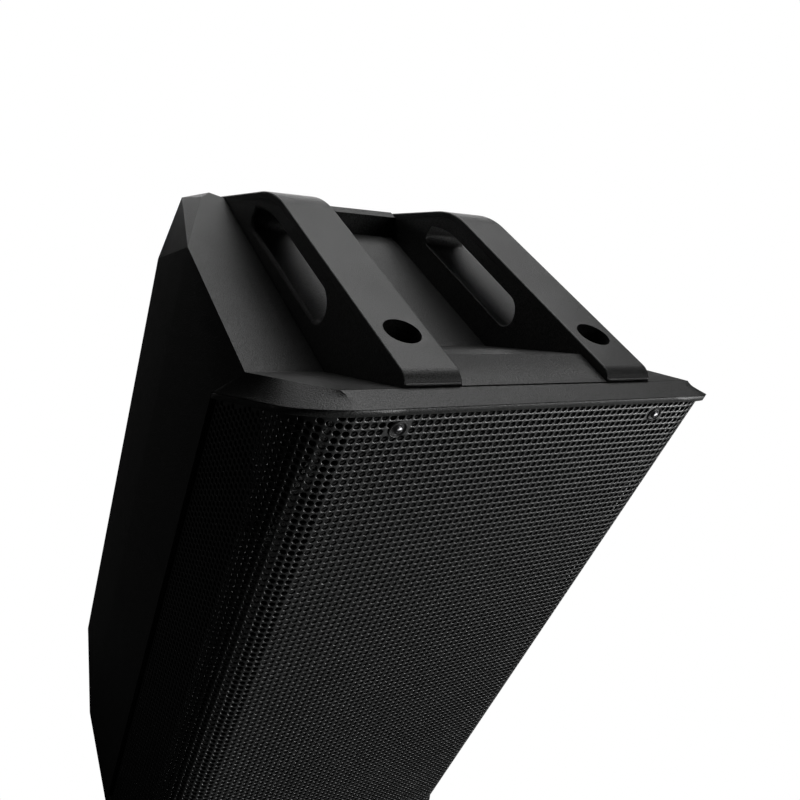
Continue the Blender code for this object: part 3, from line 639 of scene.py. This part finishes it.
def make_handle(side, word):
    """Handle under the grip, with a hand slot whose lips are rounded."""
    crest = STRAP_ABOVE_SHOULDER - GRIP_THICK - GRIP_GAP
    outline = [(HANDLE_FRONT, HANDLE_FLOOR), (HANDLE_FRONT, crest)]
    outline += top_line(GRIP_THICK + GRIP_GAP) + [(HANDLE_REAR, HANDLE_FLOOR)]
    body = prism([at(side * HANDLE_INNER, d, h) for d, h in outline],
                 [at(side * HANDLE_OUTER, d, h) for d, h in outline])
    slot = slot_outline()
    tool = prism([at(side * (HANDLE_INNER - 0.02), d, h) for d, h in slot],
                 [at(side * (HANDLE_OUTER + 0.02), d, h) for d, h in slot])
    bm = subtract(body, tool, "slot_" + word)
    place = at(side * (HANDLE_INNER + HANDLE_OUTER) / 2, RIG_DEPTH, 0.0)
    bore = [(0.0, RIG_FLOOR), (RIG_RADIUS, RIG_FLOOR), (RIG_RADIUS, ABOVE_GRIPS), (0.0, ABOVE_GRIPS)]
    bm = subtract(bm, turned(bore, place, "Z", 56, False), "bore_" + word)

    def slot_mouth(edge):
        for vert in edge.verts:
            depth = vert.co.y - GRILLE_Y
            height = vert.co.z - SHOULDER_Z
            off_face = min(abs(abs(vert.co.x) - x) for x in (HANDLE_INNER, HANDLE_OUTER))
            if not (off_face < 0.0002 and 0.130 < depth < 0.296 and -0.002 < height < 0.0305):
                return False
        return True

    round_edges(bm, SLOT_LIP, 7, slot_mouth, 40.0)
    piece("handle_body_" + word, bm, "housing", ["handle_" + word], angle=50.0)


# Grille: a bent sheet with a square grid of punched holes

def unroll(s):
    """Plan place and outward normal of the sheet's front at distance s from the middle."""
    side = 1.0 if s >= 0 else -1.0
    run = abs(s)
    flat = GRILLE_HALF - CORNER
    bend = CORNER * math.pi / 2
    if run <= flat:
        return (s, 0.0), (0.0, -1.0)
    if run <= flat + bend:
        angle = (run - flat) / CORNER
        place = (side * (flat + CORNER * math.sin(angle)), CORNER * (1 - math.cos(angle)))
        return place, (side * math.sin(angle), -math.cos(angle))
    return (side * GRILLE_HALF, CORNER + run - flat - bend), (side, 0.0)


def grille_grid():
    """Column and row lines between the holes."""
    flat = GRILLE_HALF - CORNER
    whole = flat + CORNER * math.pi / 2 + GRILLE_RETURN - CORNER
    columns = int((whole - HOLE_PITCH / 2) / HOLE_PITCH)
    s_lines = [(n + 0.5) * HOLE_PITCH for n in range(-columns - 1, columns + 1)]
    s_lines = [-whole] + s_lines + [whole]
    first = FIRST_ROW + HOLE_PITCH / 2
    rows = int((first - GRILLE_BOTTOM - 0.004) / HOLE_PITCH)
    h_lines = [first - n * HOLE_PITCH for n in range(rows + 1)]
    return s_lines, h_lines


class Sheet:
    """Collects points and faces of the grille in unrolled coordinates."""

    def __init__(self):
        self.points = []
        self.faces = []
        self.known = {}

    def point(self, s, h, inward=0.0):
        key = (round(s * 1e7), round(h * 1e7), round(inward * 1e7))
        if key not in self.known:
            place, normal = unroll(s)
            self.known[key] = len(self.points)
            self.points.append((place[0] - normal[0] * inward, GRILLE_Y + place[1] - normal[1] * inward,
                                SHOULDER_Z + h))
        return self.known[key]

    def face(self, *corners):
        self.faces.append(corners)


def perforate(sheet, s0, s1, h0, h1):
    """One cell with a round hole: front skin, rounded lip, bore and back skin."""
    centre = ((s0 + s1) / 2, (h0 + h1) / 2)
    angles = [2 * math.pi * (step + 0.5) / HOLE_SIDES for step in range(HOLE_SIDES)]
    rings = []
    for radius, inward in ((HOLE_RADIUS + HOLE_LIP, 0.0), (HOLE_RADIUS + HOLE_LIP * 0.3, HOLE_LIP * 0.35),
                           (HOLE_RADIUS, HOLE_LIP * 1.2), (HOLE_RADIUS, SHEET)):
        rings.append([sheet.point(centre[0] + radius * math.cos(a), centre[1] + radius * math.sin(a), inward)
                      for a in angles])
    for outer, inner in zip(rings, rings[1:]):
        for index in range(HOLE_SIDES):
            following = (index + 1) % HOLE_SIDES
            sheet.face(outer[index], outer[following], inner[following], inner[index])
    quarter = HOLE_SIDES // 4
    corner_places = ((s1, h1), (s0, h1), (s0, h0), (s1, h0))
    for ring, inward, flip in ((rings[0], 0.0, False), (rings[-1], SHEET, True)):
        corners = [sheet.point(s, h, inward) for s, h in corner_places]
        for number in range(4):
            start = number * quarter
            fan = [ring[(start + k) % HOLE_SIDES] for k in range(quarter)]
            around = [corners[number]] + fan[::-1]
            bridge = [corners[number], corners[(number + 1) % 4], ring[(start + quarter) % HOLE_SIDES],
                      ring[(start + quarter - 1) % HOLE_SIDES]]
            sheet.face(*(around[::-1] if flip else around))
            sheet.face(*(bridge[::-1] if flip else bridge))


def plain(sheet, outline):
    """Unpunched patch, front and back."""
    sheet.face(*[sheet.point(s, h, 0.0) for s, h in outline])
    sheet.face(*[sheet.point(s, h, SHEET) for s, h in outline][::-1])


def top_height(s):
    place, _ = unroll(s)
    return GRILLE_TOP - SEAM_SLOPE * place[1]


def fill_grille(sheet, s_lines, h_lines, keep, screws):
    """All cells whose column and row keep() accepts."""
    for s0, s1 in zip(s_lines, s_lines[1:]):
        middle = (s0 + s1) / 2
        full_width = abs(s1 - s0 - HOLE_PITCH) < 1e-6
        roof = min(top_height(s0), top_height(s1))
        below = [h for h in h_lines if h <= roof - GRILLE_EDGE]
        if not below:
            continue
        highest = below[0]
        if keep(middle, highest):
            left = [h for h in h_lines if highest < h < top_height(s0) - 1e-6]
            right = [h for h in h_lines if highest < h < top_height(s1) - 1e-6]
            outline = [(s0, highest), (s1, highest)] + [(s1, h) for h in sorted(right)]
            outline += [(s1, top_height(s1)), (s0, top_height(s0))]
            outline += [(s0, h) for h in sorted(left, reverse=True)]
            plain(sheet, outline)
        for h1, h0 in zip(below, below[1:]):
            if not keep(middle, (h0 + h1) / 2):
                continue
            gaps = [math.hypot(middle - x, (h0 + h1) / 2 - h) for x, h in screws]
            blocked = min(gaps) < SCREW_CLEARANCE
            if full_width and not blocked:
                perforate(sheet, s0, s1, h0, h1)
            else:
                plain(sheet, [(s0, h0), (s1, h0), (s1, h1), (s0, h1)])
        lowest = below[-1]
        if keep(middle, lowest - 0.001):
            plain(sheet, [(s0, GRILLE_BOTTOM), (s1, GRILLE_BOTTOM), (s1, lowest), (s0, lowest)])


def screw_places():
    places = []
    for index in range(4):
        low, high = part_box("grille_screw_" + str(index + 1))
        middle = (low + high) / 2
        places.append((middle.x, middle.z - SHOULDER_Z))
    return places


def make_grille():
    s_lines, h_lines = grille_grid()
    flat = GRILLE_HALF - CORNER
    side_line = min(s_lines, key=lambda s: abs(s - flat))
    middle_row = h_lines[len(h_lines) // 2]
    screws = screw_places()
    areas = {
        "grille_front_upper": lambda s, h: abs(s) < side_line and h > middle_row,
        "grille_front_lower": lambda s, h: abs(s) < side_line and h < middle_row,
        "grille_wrap_left": lambda s, h: s < -side_line,
        "grille_wrap_right": lambda s, h: s > side_line,
    }
    for name, keep in areas.items():
        sheet = Sheet()
        fill_grille(sheet, s_lines, h_lines, keep, screws)
        mesh = bpy.data.meshes.new(name)
        mesh.from_pydata(sheet.points, [], sheet.faces)
        mesh.materials.append(MATERIALS["grille"])
        mesh.update()
        mesh.shade_smooth()
        mesh.set_sharp_from_angle(angle=math.radians(50.0))
        made = bpy.data.objects.new(name, mesh)
        bpy.context.scene.collection.objects.link(made)
        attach(made, CABINET)
        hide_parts("grille")


def make_screws():
    """Pan head with a cross recess, seated in a dished cup."""
    for index in range(4):
        node = "grille_screw_" + str(index + 1)
        low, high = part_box(node)
        centre = Vector(((low.x + high.x) / 2, GRILLE_Y, (low.z + high.z) / 2))
        cup = [(0.0068, 0.0002), (0.0067, -0.0007), (0.0061, -0.0012), (0.0055, -0.0009),
               (0.0047, 0.0004), (0.0040, 0.0010), (0.0022, 0.0011), (0.0022, 0.0014)]
        piece("cup_washer_" + str(index + 1), turned(cup, centre, "Y", 48), "cup")
        head = [(0.0, -0.0024), (0.0014, -0.00235), (0.0028, -0.0018), (0.0036, -0.0008), (0.0038, 0.0004),
                (0.0036, 0.0009), (0.0, 0.0009)]
        bm = turned(head, centre, "Y", 40, False)
        made = piece("pan_screw_" + str(index + 1), bm, "screws", [node])
        for number, (wide, tall) in enumerate(((0.00030, 0.0017), (0.0017, 0.00030))):
            recess = block(centre + Vector((0, -0.0024, 0)), (wide, 0.0011, tall))
            cut_out(made, recess, node + str(number))


def block(centre, half):
    bm = bmesh.new()
    bmesh.ops.create_cube(bm, size=2.0)
    bmesh.ops.scale(bm, vec=half, verts=bm.verts)
    bmesh.ops.translate(bm, vec=centre, verts=bm.verts)
    return bm


def make_foam():
    """Sheet of open foam behind the holes."""
    low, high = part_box("grille_foam")
    columns, rows = 60, 120
    rng = np.random.default_rng(7)
    bm = bmesh.new()
    layers = []
    for y, sign in ((low.y, 1.0), (high.y, -1.0)):
        grid = []
        for row in range(rows + 1):
            line = []
            for column in range(columns + 1):
                x = low.x + (high.x - low.x) * column / columns
                z = low.z + (high.z - low.z) * row / rows
                inside = 0 < column < columns and 0 < row < rows
                dent = float(rng.uniform(0.0, 0.0004)) if inside else 0.0
                line.append(bm.verts.new((x, y + sign * dent, z)))
            grid.append(line)
        layers.append(grid)
        for row in range(rows):
            for column in range(columns):
                bm.faces.new((grid[row][column], grid[row][column + 1], grid[row + 1][column + 1],
                              grid[row + 1][column]))
    front, back = layers
    loop_front = border(front)
    loop_back = border(back)
    for index in range(len(loop_front)):
        following = (index + 1) % len(loop_front)
        bm.faces.new((loop_front[index], loop_front[following], loop_back[following], loop_back[index]))
    made = piece("foam_sheet", bm, "foam", ["grille_foam"], weighted=False)


def border(grid):
    top = list(grid[0])
    right = [line[-1] for line in grid[1:]]
    bottom = list(reversed(grid[-1][:-1]))
    left = [line[0] for line in reversed(grid[1:-1])]
    return top + right + bottom + left


# Rear panel

def middle_of(node):
    low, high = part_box(node)
    return (low + high) / 2


def rod(bm, centre, radius, start, end, steps):
    """Cylinder along Y with a small chamfer on its outer end, added to bm."""
    chamfer = min(0.0003, radius * 0.3)
    profile = [(0.0, start), (radius, start), (radius, end - chamfer), (radius - chamfer, end), (0.0, end)]
    return turned(profile, centre, "Y", steps, False, bm)


def add_box(bm, low, high, chamfer=0.0):
    """Box between two corners, added to bm, with rounded edges."""
    part = bmesh.new()
    bmesh.ops.create_cube(part, size=1.0)
    bmesh.ops.scale(part, vec=high - low, verts=part.verts)
    bmesh.ops.translate(part, vec=(low + high) / 2, verts=part.verts)
    if chamfer:
        round_edges(part, chamfer, 2, lambda edge: True)
    mesh = bpy.data.meshes.new("part")
    part.to_mesh(mesh)
    part.free()
    bm.from_mesh(mesh)
    bpy.data.meshes.remove(mesh)


def fluted(centre, rings, flutes, steps):
    """Turned part whose rings are (radius, y, flute depth)."""
    bm = bmesh.new()
    made = []
    for radius, y, depth in rings:
        ring = []
        for step in range(steps):
            angle = 2 * math.pi * step / steps
            reach = radius - depth * (0.5 - 0.5 * math.cos(flutes * angle))
            ring.append(bm.verts.new((centre.x + reach * math.cos(angle), y,
                                      centre.z + reach * math.sin(angle))))
        made.append(ring)
    for first, second in zip(made, made[1:]):
        for step in range(steps):
            following = (step + 1) % steps
            bm.faces.new((first[step], first[following], second[following], second[step]))
    bm.faces.new(made[0])
    bm.faces.new(made[-1][::-1])
    return bm


def make_knobs():
    """Fluted level knobs with a pointer, and a ring of printed dots round each."""
    dots = bmesh.new()
    panel_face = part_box("amp_panel")[1].y
    for number in (1, 2, 3):
        node = "level_knob_" + str(number)
        low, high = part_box(node)
        centre = (low + high) / 2
        foot = panel_face + 0.0006
        top = high.y
        rings = [(0.0030, low.y, 0.0), (0.0030, foot, 0.0), (0.0090, foot, 0.0), (0.0092, foot + 0.0005, 0.0),
                 (0.0092, foot + 0.0018, 0.0), (0.0086, foot + 0.0026, 0.0), (0.0084, foot + 0.0032, 0.0005),
                 (0.0078, top - 0.0012, 0.0005), (0.0073, top - 0.0003, 0.0002), (0.0066, top, 0.0),
                 (0.0060, top - 0.0003, 0.0), (0.0020, top - 0.0004, 0.0)]
        piece("knob_" + str(number), fluted(centre, rings, 22, 132), "controls", [node], node)
        mark = bmesh.new()
        add_box(mark, Vector((centre.x - 0.00045, top - 0.0006, centre.z + 0.0022)),
                Vector((centre.x + 0.00045, top - 0.0001, centre.z + 0.0064)), 0.0001)
        piece("knob_pointer_" + str(number), mark, "marks", [], node)
        for step in range(11):
            angle = math.radians(-140 + 28 * step)
            place = Vector((centre.x + 0.0124 * math.sin(angle), 0.0, centre.z + 0.0124 * math.cos(angle)))
            rod(dots, place, 0.00055, panel_face - 0.0002, panel_face + 0.00006, 10)
    piece("dial_dots", dots, "marks")


def make_sockets():
    """Round signal sockets: bezel, insulating insert, three contacts and two fixing screws."""
    for node in ("input_socket_a", "input_socket_b", "link_socket"):
        low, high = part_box(node)
        centre = (low + high) / 2
        face = high.y
        rear = low.y
        bezel = [(0.0, rear), (0.0114, rear), (0.0114, face - 0.0018), (0.0142, face - 0.0018),
                 (0.0145, face - 0.0013), (0.0144, face - 0.0004), (0.0138, face), (0.0102, face),
                 (0.0096, face - 0.0006), (0.0095, rear + 0.0040), (0.0088, rear + 0.0032),
                 (0.0, rear + 0.0028)]
        bm = turned(bezel, Vector((centre.x, 0.0, centre.z)), "Y", 56, False)
        key_low = Vector((centre.x - 0.0014, rear + 0.0020, centre.z - 0.0099))
        add_box(bm, key_low, Vector((centre.x + 0.0014, face - 0.0010, centre.z - 0.0084)), 0.0002)
        piece("socket_" + node, bm, "controls", [node])
        pins = bmesh.new()
        for angle in (90, 210, 330):
            turn = math.radians(angle)
            place = Vector((centre.x + 0.0045 * math.cos(turn), 0.0, centre.z + 0.0045 * math.sin(turn)))
            rod(pins, place, 0.0013, rear + 0.0020, rear + 0.0085, 16)
        piece("contacts_" + node, pins, "plated")
        fixings = bmesh.new()
        for turn in (math.radians(45), math.radians(225)):
            place = Vector((centre.x + 0.0121 * math.cos(turn), 0.0, centre.z + 0.0121 * math.sin(turn)))
            screw_head(fixings, place, 0.0016, face - 0.0003, face + 0.0005)
        piece("fixings_" + node, fixings, "screws")


def screw_head(bm, centre, radius, foot, top):
    """Small screw head with a round recess, added to bm."""
    profile = [(0.0, foot - 0.0008), (radius * 0.5, foot - 0.0008), (radius, foot),
               (radius, foot + (top - foot) * 0.5), (radius * 0.8, top), (radius * 0.45, top),
               (radius * 0.40, foot), (0.0, foot)]
    turned(profile, centre, "Y", 18, False, bm)


def make_panel():
    bm = clean_copy("amp_panel")
    low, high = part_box("amp_panel")
    round_edges(bm, 0.0006, 2, lambda edge: max(v.co.y for v in edge.verts) > high.y - 0.001, 40.0)
    piece("panel_plate", bm, "panel", ["amp_panel"])
    heads = bmesh.new()
    margin = 0.0065
    for x in (low.x + margin, high.x - margin):
        for share in (0.0, 0.25, 0.5, 0.75, 1.0):
            z = low.z + margin + (high.z - low.z - 2 * margin) * share
            screw_head(heads, Vector((x, 0.0, z)), 0.0030, high.y + 0.0001, high.y + 0.0014)
    for z in (low.z + margin, high.z - margin):
        screw_head(heads, Vector(((low.x + high.x) / 2, 0.0, z)), 0.0030, high.y + 0.0001, high.y + 0.0014)
    piece("panel_screws", heads, "screws")
    frame_lines = bmesh.new()
    knobs = middle_of("level_knob_2")
    for x in (knobs.x - 0.054, knobs.x + 0.058):
        add_box(frame_lines, Vector((x, high.y - 0.0002, knobs.z - 0.078)),
                Vector((x + 0.0005, high.y + 0.00005, knobs.z + 0.020)))
    for z in (knobs.z - 0.078, knobs.z + 0.020):
        add_box(frame_lines, Vector((knobs.x - 0.054, high.y - 0.0002, z)),
                Vector((knobs.x + 0.0585, high.y + 0.00005, z + 0.0005)))
    piece("panel_frame_lines", frame_lines, "marks")


def make_power_parts():
    """Mains inlet with three pins, rocker switch, mode button, status light and heatsink."""
    bm = clean_copy("mains_inlet")
    round_edges(bm, 0.0005, 2, lambda edge: True, 40.0)
    piece("inlet_body", bm, "controls", ["mains_inlet"])
    low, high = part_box("mains_inlet")
    centre = (low + high) / 2
    pins = bmesh.new()
    for x, z in ((-0.0062, -0.0018), (0.0062, -0.0018), (0.0, 0.0030)):
        add_box(pins, Vector((centre.x + x - 0.0010, low.y + 0.003, centre.z + z - 0.0020)),
                Vector((centre.x + x + 0.0010, high.y - 0.0045, centre.z + z + 0.0020)), 0.0003)
    piece("inlet_pins", pins, "plated")
    bm = clean_copy("switch_housing")
    round_edges(bm, 0.0005, 2, lambda edge: True, 40.0)
    piece("switch_frame", bm, "controls", ["switch_housing"])
    bm = clean_copy("power_switch")
    round_edges(bm, 0.0006, 3, lambda edge: True, 12.0)
    piece("switch_rocker", bm, "signal", ["power_switch"], "power_switch")
    low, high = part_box("mode_button")
    centre = (low + high) / 2
    rings = [(0.0046, low.y, 0.0), (0.0046, high.y - 0.0008, 0.0), (0.0043, high.y - 0.0002, 0.0),
             (0.0038, high.y, 0.0), (0.0030, high.y - 0.0003, 0.0), (0.0010, high.y - 0.0005, 0.0)]
    piece("button_cap", fluted(centre, rings, 1, 48), "controls", ["mode_button"], "mode_button")
    low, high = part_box("status_led")
    centre = (low + high) / 2
    dome = [(0.0, low.y), (0.0024, low.y), (0.0024, low.y + 0.0006), (0.0020, high.y - 0.0004),
            (0.0010, high.y - 0.0001), (0.0, high.y)]
    bm = turned(dome, Vector((centre.x, 0.0, centre.z)), "Y", 28, False)
    piece("led_lens", bm, "signal", ["status_led"])
    bm = clean_copy("heatsink")
    round_edges(bm, 0.0005, 2, lambda edge: True, 40.0)
    piece("heatsink_fins", bm, "heatsink", ["heatsink"])


def make_underside():
    for index in range(4):
        node = "foot_" + str(index + 1)
        low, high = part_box(node)
        centre = (low + high) / 2
        foot = [(0.0, low.z + 0.0006), (0.0060, low.z + 0.0006), (0.0064, low.z), (0.0132, low.z),
                (0.0148, low.z + 0.0006), (0.0158, low.z + 0.0022), (0.0175, high.z - 0.0004),
                (0.0172, high.z), (0.0, high.z)]
        bm = turned(foot, Vector((centre.x, centre.y, 0.0)), "Z", 48, False)
        piece("rubber_foot_" + str(index + 1), bm, "rubber", [node])
    bm = clean_copy("pole_socket")
    round_edges(bm, 0.0007, 2, lambda edge: True, 50.0)
    piece("pole_cup", bm, "controls", ["pole_socket"])
    low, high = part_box("pole_socket")
    screws = bmesh.new()
    for angle in (45, 135, 225, 315):
        turn = math.radians(angle)
        place = Vector((0.034 * math.cos(turn), 0.034 * math.sin(turn), 0.0))
        head = [(0.0, low.z - 0.0012), (0.0016, low.z - 0.0012), (0.0028, low.z - 0.0004),
                (0.0028, low.z + 0.0010), (0.0, low.z + 0.0010)]
        turned(head, place, "Z", 20, False, screws)
    piece("pole_cup_screws", screws, "screws")


# Camera, floor and lights

def make_camera():
    """A steep three-quarter view from the front left with the camera rolled."""
    data = bpy.data.cameras.new("camera")
    data.lens = 37.25
    data.sensor_width = 36.0
    camera = bpy.data.objects.new("camera", data)
    bpy.context.scene.collection.objects.link(camera)
    turn = math.radians(40.27)
    pitch = math.radians(-33.19)
    roll = math.radians(22.79)
    forward = Vector((math.sin(turn) * math.cos(pitch), math.cos(turn) * math.cos(pitch), math.sin(pitch)))
    level_right = Vector((math.cos(turn), -math.sin(turn), 0.0))
    level_up = level_right.cross(forward)
    right = level_right * math.cos(roll) + level_up * math.sin(roll)
    up = level_up * math.cos(roll) - level_right * math.sin(roll)
    axes = Matrix((right, up, -forward)).transposed().to_4x4()
    camera.matrix_world = Matrix.Translation(at(-0.3991, -0.3214, 0.3195)) @ axes
    bpy.context.scene.camera = camera


def make_floor():
    """Large pale floor."""
    bm = bmesh.new()
    size = 30.0
    corners = ((-size, -size), (size, -size), (size, size), (-size, size))
    bm.faces.new([bm.verts.new((x, y, 0.0)) for x, y in corners])
    mesh = bpy.data.meshes.new("floor")
    bm.to_mesh(mesh)
    bm.free()
    floor = bpy.data.objects.new("floor", mesh)
    bpy.context.scene.collection.objects.link(floor)
    material = bpy.data.materials.new("pale floor")
    material.use_nodes = True
    tree = material.node_tree
    tree.nodes.clear()
    output = tree.nodes.new("ShaderNodeOutputMaterial")
    path = tree.nodes.new("ShaderNodeLightPath")
    bright = tree.nodes.new("ShaderNodeEmission")
    bright.inputs["Strength"].default_value = 1.0
    matte = tree.nodes.new("ShaderNodeBsdfDiffuse")
    matte.inputs["Color"].default_value = (0.03, 0.03, 0.03, 1.0)
    mix = tree.nodes.new("ShaderNodeMixShader")
    tree.links.new(path.outputs["Is Camera Ray"], mix.inputs["Fac"])
    tree.links.new(matte.outputs["BSDF"], mix.inputs[1])
    tree.links.new(bright.outputs["Emission"], mix.inputs[2])
    tree.links.new(mix.outputs["Shader"], output.inputs["Surface"])
    mesh.materials.append(material)


def make_world():
    world = bpy.data.worlds.new("studio")
    bpy.context.scene.world = world
    world.use_nodes = True
    tree = world.node_tree
    background = tree.nodes["Background"]
    path = tree.nodes.new("ShaderNodeLightPath")
    strength = tree.nodes.new("ShaderNodeMapRange")
    strength.inputs["To Min"].default_value = 0.012
    strength.inputs["To Max"].default_value = 1.0
    tree.links.new(path.outputs["Is Camera Ray"], strength.inputs["Value"])
    tree.links.new(strength.outputs["Result"], background.inputs["Strength"])
    background.inputs["Color"].default_value = (1.0, 1.0, 1.0, 1.0)


def make_light(name, place, aim, width, height, power):
    data = bpy.data.lights.new(name, "AREA")
    data.shape = "RECTANGLE"
    data.size = width
    data.size_y = height
    data.energy = power
    light = bpy.data.objects.new(name, data)
    bpy.context.scene.collection.objects.link(light)
    light.location = place
    light.rotation_euler = (Vector(aim) - Vector(place)).to_track_quat("-Z", "Y").to_euler()


def make_lights():
    top = (0.0, 0.0, cad_high.z)
    make_light("back_high", (0.65, 1.45, 2.35), top, 2.2, 1.6, 37.0)
    make_light("low_back", (0.62, 2.0, 0.35), top, 2.0, 0.7, 12.0)
    make_light("front_right", (1.5, -1.9, 0.36), (0.0, -0.15, 0.5), 1.6, 0.66, 66.0)
    make_light("front_high", (1.0, -1.5, 2.0), (0.0, -0.15, 0.6), 0.8, 0.8, 5.5)
    make_light("left_rear", (-2.0, 1.6, 1.6), (0.0, 0.0, 0.5), 1.2, 1.2, 1.8)


def main():
    bpy.context.scene.view_settings.view_transform = "Standard"
    make_camera()
    dress_cad_nodes()
    make_housing()
    make_rim()
    make_base_rim()
    for side, word in ((-1, "left"), (1, "right")):
        make_handle(side, word)
        make_grip(side, word)
    make_grille()
    make_screws()
    make_foam()
    make_panel()
    make_knobs()
    make_sockets()
    make_power_parts()
    make_underside()
    make_floor()
    make_world()
    make_lights()


main()
